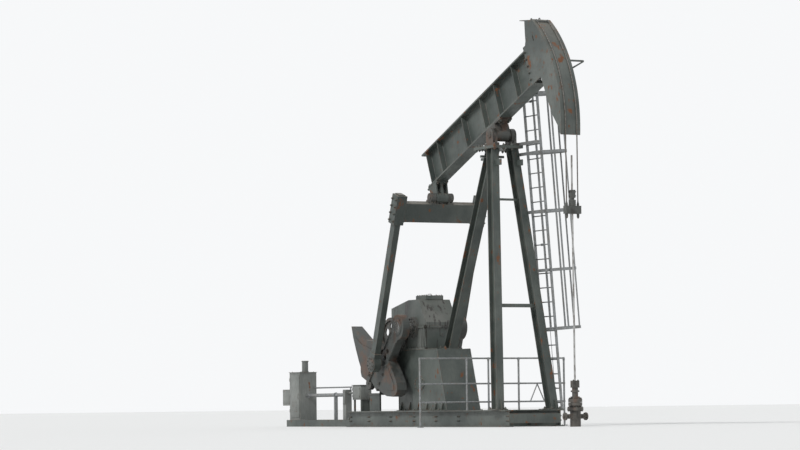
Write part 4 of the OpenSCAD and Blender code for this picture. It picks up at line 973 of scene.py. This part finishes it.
def on_beam(u, y, w):
    """World places of points along, across and above the tilted beam."""
    u, y, w = np.broadcast_arrays(*(np.asarray(value, float) for value in (u, y, w)))
    return SADDLE_Z * Z_WAY + sum(
        reach[..., None] * way for reach, way in ((u, U_WAY), (y, Y_WAY), (w, W_WAY)))


STIFFENER_U = np.array([-2.95, -2.40, -1.20, -0.33, 0.33, 1.15])
WELD_Y = 0.0125
weld_w = [BEAM_FOOT + FLANGE + 0.002, BEAM_TOP - FLANGE - 0.002]
stiff_paths = [on_beam(u + side * 0.011, sign * WELD_Y, weld_w)
               for u in STIFFENER_U for side in SIDES for sign in SIDES]
flange_paths = [on_beam([-3.10, 1.83], sign * WELD_Y, w) for sign in SIDES
                for w in (BEAM_FOOT + FLANGE + 0.001, BEAM_TOP - FLANGE - 0.001)]
add_piece("beam_welds", beads(stiff_paths + flange_paths, BEAM_WELD),
          dark_paint, "beam")

clamp_us = [-3.125 + 0.02, -2.76, -0.285, -0.215, 0.215, 0.285]
clamp_u, clamp_y = (grid.ravel() for grid in np.meshgrid(clamp_us, 0.112 * SIDES))
clamp_top = on_beam(clamp_u, clamp_y, BEAM_FOOT + FLANGE + SEAT_GAP)
clamp_under = on_beam(clamp_u, clamp_y, BEAM_FOOT - 0.0415)
add_piece("beam_bolts",
          hex_bolts(clamp_top, W_WAY, BEAM_BOLT) + hex_bolts(clamp_under, -W_WAY, BEAM_BOLT, 0.2),
          dark_paint, "beam")


# Horsehead. Two cut side plates with ribs between them behind the rolled face
# plate, bolted to the nose of the beam; lifting eyes stand on its top.
head_paint = finished("head_paint", weathered_coat, 0.0012, Rust=0.62, Dust=0.7, Wear=1.0,
                      Paint=(0.055, 0.066, 0.060, 1), Faded=(0.112, 0.124, 0.112, 1))
dress(head_paint, "horsehead", "head_face")
PLATE_Y = 0.200
FACE_IN = 2.831
RIB_Y = 0.179
HEAD_RIB = 0.014
RIBS = ((20.0, 2.16), (5.0, 2.31), (-8.0, 2.38), (-18.0, 2.54))
SEAM_ARC = np.radians(np.linspace(-26.0, 30.6, 90))
NOSE_U = 1.885
NOSE_W = np.array([0.34, 0.50, 0.66, 0.82, 0.98])
NOSE_BOLT = 0.050
HEAD_EYE_R = 0.026
HEAD_EYE_WIRE = 0.010
HEAD_EYES = ((1.330, 8.527), (1.660, 8.497))
pivot = SADDLE_Z * Z_WAY


def head_arc(radius, angle):
    """Places on an arc about the saddle bearing, in the middle plane."""
    return pivot + np.stack([radius * np.cos(angle), 0 * angle, radius * np.sin(angle)], -1)


head_shells = []
for angle, root in RIBS:
    way = U_WAY * math.cos(math.radians(angle)) + W_WAY * math.sin(math.radians(angle))
    rib = [(root, -RIB_Y), (FACE_IN - 0.001, -RIB_Y), (FACE_IN - 0.001, RIB_Y), (root, RIB_Y)]
    head_shells.append(plate(rib, HEAD_RIB, pivot, way, Y_WAY))
for sign in SIDES:
    seam = head_arc(FACE_IN, BEAM_TILT + SEAM_ARC) + sign * (PLATE_Y + 0.002) * Y_WAY
    head_shells.append(swept(seam, uneven(BEAM_WELD, len(seam)), 6, Y_WAY))
    nose = on_beam(NOSE_U, sign * (PLATE_Y + SEAT_GAP), NOSE_W)
    head_shells += hex_bolts(nose, sign * Y_WAY, NOSE_BOLT, 0.4)
for x, z in HEAD_EYES:
    eye = np.stack([HEAD_EYE_R * np.cos(ring), 0 * ring, HEAD_EYE_R * np.sin(ring)], -1)
    head_shells.append([swept([x, 0, z] + eye, HEAD_EYE_WIRE, 10, Y_WAY)])
add_piece("head_ribs_and_bolts", head_shells, head_paint, "beam", 25.0)


# Bridle. Two six-strand wire ropes lie on the face of the head and hang down
# to the carrier bar; the part that hangs stretches with the stroke.
ROD_X = 2.870
WIRE_Y = 0.135
STRAND_COUNT = 6
STRAND_WIND = 235.0
# Painted shade: near black colour for the grooves between the strands of the hanging wires.
STRAND_GAP_SHADE = (0.03, 0.027, 0.022, 1)
STRAND_GREY = (0.21, 0.20, 0.185, 1)
ROPE_GREASE = (0.085, 0.06, 0.04, 1)


def build_wire_coat():
    """Greased rope: painted shade in the dark gaps between strands that wind round the hanging
    wires.
    """
    tree, wanted, given = coat_tree("wire_coat", Strands=FLOAT)
    place = wanted["Coordinates"]
    split = node_of(tree, "SeparateXYZ", Vector=place)
    x = maths(tree, "SUBTRACT", split.outputs["X"], ROD_X)
    y = maths(tree, "SUBTRACT", maths(tree, "ABSOLUTE", split.outputs["Y"], 0.0), WIRE_Y)
    wound = times(tree, maths(tree, "ARCTAN2", y, x), float(STRAND_COUNT))
    wound = plus(tree, wound, times(tree, split.outputs["Z"], STRAND_WIND))
    crest = maths(tree, "ABSOLUTE", maths(tree, "SINE", times(tree, wound, 0.5), 0.0), 0.0)
    crest = plus(tree, times(tree, crest, wanted["Strands"]),
                 maths(tree, "SUBTRACT", 1.0, wanted["Strands"]))
    grime = noise(tree, place, 30.0, 5)
    # Painted shade: the colour goes to near black in the grooves between the winding strands.
    base = blend_colour(tree, spread(tree, crest, 0.15, 0.8), STRAND_GAP_SHADE, STRAND_GREY)
    base = blend_colour(tree, spread(tree, grime, 0.46, 0.62, 0.0, 0.7), base, ROPE_GREASE)
    rough = spread(tree, grime, 0.3, 0.7, 0.36, 0.6)
    height = plus(tree, crest, times(tree, grime, 0.3))
    return finish_coat(tree, given, base, rough, height)


wire_coat = build_wire_coat()
hanging_wire = finished("hanging_wire", wire_coat, 0.004, Strands=1.0, metallic=0.7)
laid_wire = finished("laid_wire", wire_coat, 0.0006, Strands=0.0, metallic=0.7)
dress(hanging_wire, "bridle_wires")
WIRE_R = 2.8703
WRAP_END = math.radians(51.0)
LAY = 0.16
STRAND_R = 0.0043
STRAND_RING = 0.0084
CORE_R = 0.005
bend = np.linspace(0.0005, WRAP_END, 200)
strands = []
for sign in SIDES:
    for phase in np.arange(STRAND_COUNT) * 2 * math.pi / STRAND_COUNT:
        wind = phase + bend * WIRE_R * 2 * math.pi / LAY
        route = head_arc(WIRE_R + STRAND_RING * np.cos(wind), bend)
        route[:, 1] = sign * WIRE_Y + STRAND_RING * np.sin(wind)
        strands.append(swept(route, STRAND_R, 6, Y_WAY))
core = head_arc(WIRE_R, bend)
strands += [swept(core + sign * WIRE_Y * Y_WAY, CORE_R, 6, Y_WAY) for sign in SIDES]
wrap = add_piece("laid_wire_strands", strands, laid_wire, "beam")
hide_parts("bridle_wrap")

top_bend = np.radians(np.linspace(50.2, 52.4, 7))
socket_r = np.array([0.015, 0.019, 0.024, 0.026, 0.026, 0.024, 0.016])
socket_path = head_arc(WIRE_R, top_bend)
yoke_at = head_arc(WIRE_R - 0.002, top_bend[3])
yoke = bars([yoke_at - 0.112 * Y_WAY], [yoke_at + 0.112 * Y_WAY], 0.024, 0.034, 0.004)
sockets = [swept(socket_path + sign * WIRE_Y * Y_WAY, socket_r, 14, Y_WAY) for sign in SIDES]
add_piece("wire_anchor", sockets + [yoke], cast_iron, "beam")


# Equalizer and pitmans. The tail bearing turns on a shaft in two pillow
# blocks; a box beam spreads the pull to the two pitmans in bolted sockets.
TAIL = np.array([-2.71549, 0.0, 5.04734])
WRIST = np.array([-4.02120, 0.0, 1.40958])
PITMAN_Y = 1.020
PITMAN_DOWN = (WRIST - TAIL) / np.linalg.norm(WRIST - TAIL)
PITMAN_WAY = np.array([-PITMAN_DOWN[2], 0.0, PITMAN_DOWN[0]])
PILLOW_BOLT = 0.030
SOCKET_BOLT = 0.050
SOCKET_DEPTH = 0.2405
SEAM_WELD = 0.007
COVER_RISE = 0.016
WRIST_COVER_R = 0.155
WRIST_BOLT = 0.034
dress(dark_paint, "equalizer", "pitmans")
dress(cast_iron, "equalizer_bearing", "wrist_pins")


def placed(spots, start, way, down):
    """World places of points given across, beside and down a line from its start."""
    return start + np.atleast_2d(np.asarray(spots, float)) @ np.array([way, Y_WAY, down])


def on_pitman(spots):
    """World places of points across, beside and down the line of the pitmans."""
    return placed(spots, TAIL, PITMAN_WAY, PITMAN_DOWN)


pillow = on_pitman(crossing(0.101 * SIDES, [-0.255, -0.181, 0.181, 0.255], [0.0905]))
socket = crossing(0.085 * SIDES, [PITMAN_Y + 0.1200], [0.06, 0.22, 0.38, 0.54])
lower_pairs = [2, 3, 6, 7]
eq_shells = hex_bolts(pillow, -PITMAN_DOWN, PILLOW_BOLT)
for sign in SIDES:
    outer = socket * [1, sign, 1]
    inner = outer - sign * SOCKET_DEPTH * Y_WAY
    eq_shells += hex_bolts(on_pitman(outer), sign * Y_WAY, SOCKET_BOLT, 0.5)
    eq_shells += hex_bolts(on_pitman(inner[lower_pairs]), -sign * Y_WAY, SOCKET_BOLT, 0.2)
    seam_y = sign * (PITMAN_Y - 0.1205)
    seams = [on_pitman([[x, seam_y, 0.13], [x, seam_y, 0.54]]) for x in 0.124 * SIDES]
    eq_shells += beads(seams, SEAM_WELD)
add_piece("equalizer_bolts", eq_shells, dark_paint, "equalizer_frame")
wrist_covers = bolted_cover(WRIST[0], PITMAN_Y + 0.0852, WRIST[2], WRIST_COVER_R, COVER_RISE,
                            8, WRIST_BOLT)
add_piece("wrist_bearing_covers", wrist_covers, cast_iron, "equalizer_frame")


# Cranks and counterweights. Flat cast cranks keyed to the slow shaft, each
# with a large and a small weight bolted to its edges through slots.
STEEL_DARK = (0.34, 0.335, 0.325, 1)
STEEL_LIGHT = (0.52, 0.52, 0.51, 1)
STEEL_GREASE = (0.09, 0.07, 0.05, 1)


def build_turned_steel():
    """Machined steel: fine turning marks round the axis and a patchy film of grease."""
    tree, wanted, given = coat_tree("turned_steel", Turning=VECTOR)
    place = wanted["Coordinates"]
    scaled = node_of(tree, "VectorMath", {"operation": "MULTIPLY"})
    tree.links.new(place, scaled.inputs[0])
    tree.links.new(wanted["Turning"], scaled.inputs[1])
    marks = noise(tree, scaled.outputs[0], 1.0, 4)
    film = noise(tree, place, 14.0, 5, (1.0, 1.0, 0.4))
    greased = spread(tree, film, 0.45, 0.6)
    base = blend_colour(tree, marks, STEEL_DARK, STEEL_LIGHT)
    base = blend_colour(tree, times(tree, greased, 0.7), base, STEEL_GREASE)
    rough = plus(tree, spread(tree, marks, 0.3, 0.7, 0.18, 0.30), times(tree, greased, 0.2))
    return finish_coat(tree, given, base, rough, marks)


turned_steel = build_turned_steel()
shaft_steel = finished("shaft_steel", turned_steel, 0.0003, Turning=(6.0, 420.0, 6.0), metallic=0.9)
crank_iron = finished("crank_iron", cast_coat, 0.0018, Oil=0.55, Rust=0.6,
                      Paint=(0.060, 0.066, 0.062, 1))
dress(shaft_steel, "crankshaft")
dress(crank_iron, "cranks", "counterweights")
WEIGHT_FACE = 0.845
PANEL_T = 0.012
SLOT_BOLT = 0.066
HUB_Y = 0.8105
PIN_NUT = 0.130
PIN_NUT_Y = 0.6395
WRIST_REACH = 1.070
EDGE_X = 0.165
EDGE_Y = 0.812
EDGE_Z = [0.30, 0.80]
CRANK_DOWN = (WRIST - SHAFT) / np.linalg.norm(WRIST - SHAFT)
CRANK_WAY = np.array([-CRANK_DOWN[2], 0.0, CRANK_DOWN[0]])


def on_crank(spots):
    """World places of points across, beside and down the line of the cranks."""
    return placed(spots, SHAFT, CRANK_WAY, CRANK_DOWN)


lead_panel = [(-0.30, 1.02), (-0.62, 1.16), (-0.98, 1.36), (-1.34, 1.44), (-1.12, 1.52),
              (-0.84, 1.62), (-0.30, 1.70)]
lag_panel = [(0.28, 0.92), (0.72, 1.00), (0.84, 1.10), (0.76, 1.20), (0.58, 1.34), (0.28, 1.46)]
slot_at = np.array([[-0.245, 0, 0.98], [-0.245, 0, 1.30], [-0.245, 0, 1.62],
                    [0.235, 0, 0.93], [0.235, 0, 1.20], [0.235, 0, 1.46]])
collar = [(0.128, 0), (0.185, 0), (0.185, 0.014), (0.175, 0.020), (0.128, 0.020)]
crank_shells = []
for sign in SIDES:
    out = sign * Y_WAY
    panel_at = SHAFT + (WEIGHT_FACE + PANEL_T / 2 - SEAT_GAP) * out
    for panel in (lead_panel, lag_panel):
        crank_shells.append(plate(panel, PANEL_T, panel_at, CRANK_WAY, CRANK_DOWN))
    slots = on_crank(slot_at + (WEIGHT_FACE + SEAT_GAP) * out)
    crank_shells += hex_bolts(slots, out, SLOT_BOLT, 0.4)
    crank_shells.append([turned(collar, 48, SHAFT + HUB_Y * out, out)])
    pin_nut = on_crank([[0, sign * PIN_NUT_Y, WRIST_REACH]])
    crank_shells += hex_bolts(pin_nut, -out, PIN_NUT, 0.0)
    for x in EDGE_X * SIDES:
        start, end = on_crank(crossing([x], [sign * EDGE_Y], EDGE_Z))
        crank_shells.append(bars([start], [end], 0.028, 0.030, 0.006, Y_WAY))
add_piece("weight_bolts_and_panels", crank_shells, crank_iron, "cranks")


# Carrier bar and rod. The bar hangs on the two wire sockets and carries the
# polished rod through a spacer and a bolted clamp.
rod_steel = finished("rod_steel", turned_steel, 0.0002, Turning=(8.0, 8.0, 260.0), metallic=0.95)
dress(rod_steel, "polished_rod", "rod_exposed")
dress(cast_iron, "carrier_bar", "rod_clamp")
CARRIER_TOP = 4.5145
CARRIER_UNDER = 4.2895
CLAMP_BOLT = 0.028
WIRE_NUT = 0.046
GROOVE_LIFTS = (0.012, 0.050, 0.088)
clamp_bolts = crossing(ROD_X + 0.041 * SIDES, [0.0455], [4.715, 4.800])
carrier_shells = hex_bolts(clamp_bolts, Y_WAY, CLAMP_BOLT)
carrier_shells += hex_bolts(clamp_bolts * [1, -1, 1], -Y_WAY, CLAMP_BOLT, 0.2)
wire_nuts = crossing([ROD_X], WIRE_Y * SIDES, [CARRIER_UNDER])
carrier_shells += hex_bolts(wire_nuts, -Z_WAY, WIRE_NUT, 0.3)
groove = [(0.0725, 0), (0.078, 0.004), (0.078, 0.018), (0.0725, 0.022)]
for lift in GROOVE_LIFTS:
    carrier_shells.append(turned(groove, 40, (ROD_X, 0, CARRIER_TOP + lift), Z_WAY))
ferrule = [(0.0140, 0), (0.026, 0.001), (0.026, 0.040), (0.019, 0.065), (0.0140, 0.090)]
for sign in SIDES:
    carrier_shells.append([turned(ferrule, 24, (ROD_X, sign * WIRE_Y, CARRIER_TOP), Z_WAY)])
add_piece("carrier_bolts", carrier_shells, cast_iron, "carrier")


# Wellhead. Studded flanges over the casing, two side outlets with plugs and
# small hand wheels, and the stuffing box with its gland bolts.
wellhead_iron = finished("wellhead_iron", cast_coat, 0.0014, Oil=0.9, Rust=0.7,
                         Paint=(0.085, 0.080, 0.070, 1))
dress(wellhead_iron, "casing_head", "stuffing_box")
FLANGE_RING = 0.120
FLANGE_BOLT = 0.034
CASING_RING = 0.142
CASING_BOLT = 0.030
GLAND_RING = 0.062
GLAND_BOLT = 0.024
OUTLET_Z = 0.21
OUTLET_RING = 0.064
OUTLET_BOLT = 0.020
PLUG_SIZE = 0.060
WHEEL_R = 0.050
SPOKE_R = 0.048
well = ROD_X * X_WAY
stem = [(0.020, 0), (0.020, 0.030), (0.009, 0.034), (0.009, 0.085), (0.016, 0.087),
        (0.016, 0.097), (0.003, 0.099)]
well_shells = []
for height, radius, count, phase, way, size, stud in (
        (0.5655, FLANGE_RING, 8, 0.0, Z_WAY, FLANGE_BOLT, 0.5),
        (0.4295, FLANGE_RING, 8, 0.0, -Z_WAY, FLANGE_BOLT, 0.2),
        (0.3905, CASING_RING, 8, 0.39, Z_WAY, CASING_BOLT, 0.1),
        (0.3295, CASING_RING, 8, 0.39, -Z_WAY, CASING_BOLT, 0.1),
        (0.9405, GLAND_RING, 3, 0.5, Z_WAY, GLAND_BOLT, 0.6)):
    spots = ring_spots(well + height * Z_WAY, radius, count, Z_WAY, phase)
    well_shells += hex_bolts(spots, way, size, stud)
for sign in SIDES:
    out = sign * Y_WAY
    outlet = well + OUTLET_Z * Z_WAY
    well_shells += hex_bolts([outlet + 0.2615 * out], out, PLUG_SIZE, 0.1)
    outlet_bolts = ring_spots(outlet + 0.2285 * out, OUTLET_RING, 6, -out)
    well_shells += hex_bolts(outlet_bolts, -out, OUTLET_BOLT, 0.1)
    well_shells.append(turned(stem, 16, outlet + 0.165 * out + 0.040 * X_WAY, X_WAY))
    middle = outlet + 0.165 * out + 0.130 * X_WAY
    circle = np.stack([0 * ring, np.cos(ring), np.sin(ring)], -1)
    well_shells.append([swept(middle + WHEEL_R * circle, 0.007, 10, X_WAY)])
    for spoke in SPOKE_R * circle[::8]:
        spoke_path = middle + spoke * np.linspace(0.1, 1, 4)[:, None]
        well_shells.append(swept(spoke_path, 0.005, 8, X_WAY))
add_piece("wellhead_bolts_and_valves", well_shells, wellhead_iron, "base")


# Guard rail. Galvanised tube round the crank side of the post: posts on small
# bolted feet, clamp collars at the crossings, a short pair of braces.
GUARD_X = -0.500
GUARD_HALF = 1.774
TOP_RAIL_DROP = 0.024
FOOT_RING = 0.050
FOOT_BOLT = 0.020
FOOT_T = 0.010
BRACE_R = 0.013
guard_posts = np.array([-1.0, -0.36, -0.06, 0.36, 1.0]) * GUARD_HALF
rail_z = np.array([1.459, 0.920, 0.530])
collar_z = rail_z - [TOP_RAIL_DROP, 0, 0]
collar = [(0.0215, -0.022), (0.0265, -0.022), (0.0265, 0.022), (0.0215, 0.022)]
collar_at = crossing([GUARD_X], guard_posts, collar_z)
guard_shells = [[turned(collar, 24, spot, Z_WAY)] for spot in collar_at]
disc = [(0.0220, 0.0005), (0.070, 0.0005), (0.070, FOOT_T), (0.0220, FOOT_T)]
feet = crossing([GUARD_X], guard_posts[[0, 2, 4]], [0.0])
guard_shells.append([turned(disc, 32, feet, Z_WAY)])
for foot in feet:
    foot_bolts = ring_spots(foot + FOOT_T * Z_WAY, FOOT_RING, 4, Z_WAY, 0.78)
    guard_shells += hex_bolts(foot_bolts, Z_WAY, FOOT_BOLT)
brace_top = np.array([GUARD_X, 1.100, 0.905])
for y in (0.930, 1.270):
    guard_shells.append(swept(np.linspace([GUARD_X, y, 0.545], brace_top, 6), BRACE_R, 10, X_WAY))
add_piece("guard_collars_and_feet", guard_shells, zinc, "base")


# Cabinet and boxes. Sheet steel control cabinet on two rails with a hinged
# door, louvres and a drip roof; a vent pipe, a meter box and a junction box.
cabinet_paint = finished("cabinet_paint", weathered_coat, 0.0007, Rust=0.45, Dust=0.6, Wear=0.8,
                         Paint=(0.140, 0.150, 0.140, 1), Faded=(0.215, 0.225, 0.210, 1))
dress(cabinet_paint, "cabinet", "cabinet_vent", "side_box", "junction_box")
dress(dark_paint, "extension_rails")
ROOF_T = 0.012
ROOF_OVER = np.array([0.012, 0.016, 0.0])
DOOR_T = 0.013
DOOR_EDGE = 0.050
LOUVRE_COUNT = 6
LOUVRE_PITCH = 0.045
LOUVRE_L = 0.260
LID_H = [0.340, 0.030]
ROOF_BOLT = 0.020
LID_BOLT = 0.014


def box_of(name):
    """The low and the high corner of a CAD node."""
    return (np.array(corner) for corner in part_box(name))


low, high = box_of("cabinet")
middle = (low + high) / 2
front = low[1]
(left, near), (right, far) = (low - ROOF_OVER)[:2], (high + ROOF_OVER)[:2]
roof = [[left, near], [right, near], [right, far], [left, far]]
cabinet_shells = [plate(roof, ROOF_T, (0, 0, high[2] + ROOF_T / 2 + SEAT_GAP), X_WAY, Y_WAY)]
door_foot = [middle[0], front - 0.007, low[2] + DOOR_EDGE]
door_head = [middle[0], front - 0.007, high[2] - DOOR_EDGE]
door_w = high[0] - low[0] - 0.06
cabinet_shells.append(bars([door_foot], [door_head], DOOR_T, door_w, 0.005, X_WAY))
louvre_z = low[2] + 0.20 + LOUVRE_PITCH * np.arange(LOUVRE_COUNT)
louvre = crossing([middle[0] - LOUVRE_L / 2], [front - 0.015], louvre_z)
cabinet_shells.append(bars(louvre, louvre + LOUVRE_L * X_WAY, 0.014, 0.016, 0.004))
hinge_shape = [(0.009, 0), (0.011, 0.003), (0.011, 0.077), (0.009, 0.080)]
hinge = crossing([low[0] + 0.022], [front - 0.008], low[2] + np.array([0.18, 0.55, 0.92]))
cabinet_shells.append(turned(hinge_shape, 14, hinge, Z_WAY))
grip = np.array([high[0] - 0.055, front - 0.014, middle[2] - 0.06])
grip_path = grip + [[0, 0, 0], [0, -0.022, 0.01], [0, -0.026, 0.03], [0, -0.026, 0.09],
                    [0, -0.022, 0.11], [0, 0, 0.12]]
cabinet_shells.append(swept(grip_path, 0.006, 10, X_WAY))
roof_bolts = crossing([low[0] + 0.05, high[0] - 0.05], [low[1] + 0.05, high[1] - 0.05],
                      [high[2] + ROOF_T + SEAT_GAP])
cabinet_shells += hex_bolts(roof_bolts, Z_WAY, ROOF_BOLT, 0.0)

vent_low, vent_high = box_of("cabinet_vent")
vent_x = (vent_low[0] + vent_high[0]) / 2
band = [(0.0755, 0), (0.086, 0), (0.086, 0.022), (0.0755, 0.022)]
for band_z in (vent_low[2] + 0.014, vent_high[2] - 0.024):
    cabinet_shells.append([turned(band, 36, (vent_x, 0, band_z), Z_WAY)])

for name in ("side_box", "junction_box"):
    box_low, box_high = box_of(name)
    lid_z = box_high[2] - np.array(LID_H)
    lid = np.array([(box_low[0] + box_high[0]) / 2, box_low[1] - 0.006, 0])
    lid_w = box_high[0] - box_low[0] - 0.04
    lid_foot, lid_head = ([lid + z * Z_WAY] for z in lid_z)
    cabinet_shells.append(bars(lid_foot, lid_head, 0.011, lid_w, 0.004, X_WAY))
    lid_x = lid[0] + (lid_w - 0.03) / 2 * SIDES
    lid_spots = crossing(lid_x, [lid[1] - 0.0055], lid_z - 0.018 * SIDES)
    cabinet_shells += hex_bolts(lid_spots, -Y_WAY, LID_BOLT, 0.0)
add_piece("cabinet_door_and_fittings", cabinet_shells, cabinet_paint, "base")

PIPE_Z = 0.740
pipe_low, pipe_high = box_of("service_pipe")
collar = [(0.0425, 0), (0.060, 0), (0.060, 0.024), (0.0425, 0.024)]
collar_at = crossing([pipe_low[0] + 0.001, -7.95, pipe_high[0] - 0.030], [0.0], [PIPE_Z])
add_piece("pipe_collars", [[turned(collar, 32, collar_at, X_WAY)]], zinc, "base")


# Starter box. A small sheet steel box with a drip lid on a welded angle stand,
# bolted down on the two rails and fed by a conduit from the junction box.
STARTER = np.array([-6.600, 0.0, 0.620])
STARTER_L = 0.420
STARTER_W = 0.280
STARTER_H = 0.330
STAND_X = 0.170
STAND_Y = 0.100
RAIL_TOP = 0.160
LID_GAP = 0.0005
LID_T = 0.014
STARTER_LID_OVER = [0.030, 0.040]
DOOR_MARGIN = 0.030
LATCH_BOLT = 0.020
FEED_R = 0.024
FEED_Z = 0.780
starter_front = -STARTER_W / 2 - 0.006
lid_foot = STARTER + (STARTER_H + LID_GAP) * Z_WAY
door_foot = STARTER + [0, starter_front, DOOR_MARGIN]
door_head = STARTER + [0, starter_front, STARTER_H - DOOR_MARGIN]
starter_shells = [
    bars([STARTER], [STARTER + STARTER_H * Z_WAY], STARTER_W, STARTER_L, 0.008, X_WAY),
    bars([lid_foot], [lid_foot + LID_T * Z_WAY], STARTER_W + STARTER_LID_OVER[1],
         STARTER_L + STARTER_LID_OVER[0], 0.005, X_WAY),
    bars([door_foot], [door_head], 0.011, STARTER_L - 2 * DOOR_MARGIN, 0.004, X_WAY)]
latches = crossing([STARTER[0] + 0.165], [starter_front - 0.0055], [0.700, 0.870])
starter_shells += hex_bolts(latches, -Y_WAY, LATCH_BOLT, 0.2)
hinge_shape = [(0.007, 0), (0.009, 0.003), (0.009, 0.057), (0.007, 0.060)]
hinge = crossing([STARTER[0] - 0.192], [starter_front - 0.002], [0.680, 0.830])
starter_shells.append(turned(hinge_shape, 12, hinge, Z_WAY))
feed_start = np.array([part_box("junction_box")[1][0] + 0.0003, 0, FEED_Z])
feed_end = np.array([STARTER[0] - STARTER_L / 2 - 0.0003, 0, FEED_Z])
feed_l = feed_end[0] - feed_start[0]
starter_shells.append(turned([(FEED_R, 0), (FEED_R, feed_l)], 20, feed_start, X_WAY))
nut = [(0.0245, 0), (0.036, 0), (0.036, 0.020), (0.0245, 0.020)]
starter_shells += [[turned(nut, 6, feed_start, X_WAY)], [turned(nut, 6, feed_end, -X_WAY)]]
add_piece("starter_box", starter_shells, cabinet_paint, "base")

SILL_Y = 0.280
SILL_BOLT_Y = 0.240
SILL_BOLT = 0.030
ANGLE = 0.040
BRACE_FOOT = 0.300
BRACE_HEAD = STARTER[2] - 0.0005
BRACE_HALF = STAND_Y - 0.021
BRACE_T = 0.008
stand_shells = []
for x in STARTER[0] + STAND_X * SIDES:
    sill_start, sill_end = ([[x, y, RAIL_TOP + 0.0203]] for y in SILL_Y * SIDES)
    stand_shells.append(bars(sill_start, sill_end, 0.060, ANGLE, 0.003))
    for y in STAND_Y * SIDES:
        leg_foot, leg_head = ([[x, y, z]] for z in (RAIL_TOP + 0.0405, STARTER[2] - 0.0005))
        stand_shells.append(bars(leg_foot, leg_head, ANGLE, ANGLE, 0.003, X_WAY))
    sill_bolts = crossing([x], SILL_BOLT_Y * SIDES, [RAIL_TOP + 0.0408])
    stand_shells += hex_bolts(sill_bolts, Z_WAY, SILL_BOLT)
brace_plate = [(-BRACE_HALF, BRACE_FOOT), (BRACE_HALF, BRACE_FOOT),
               (BRACE_HALF, BRACE_HEAD), (-BRACE_HALF, BRACE_HEAD)]
stand_shells.append(plate(brace_plate, BRACE_T, (STARTER[0] + STAND_X, 0, 0), Y_WAY, Z_WAY))
add_piece("starter_stand", stand_shells, dark_paint, "base")
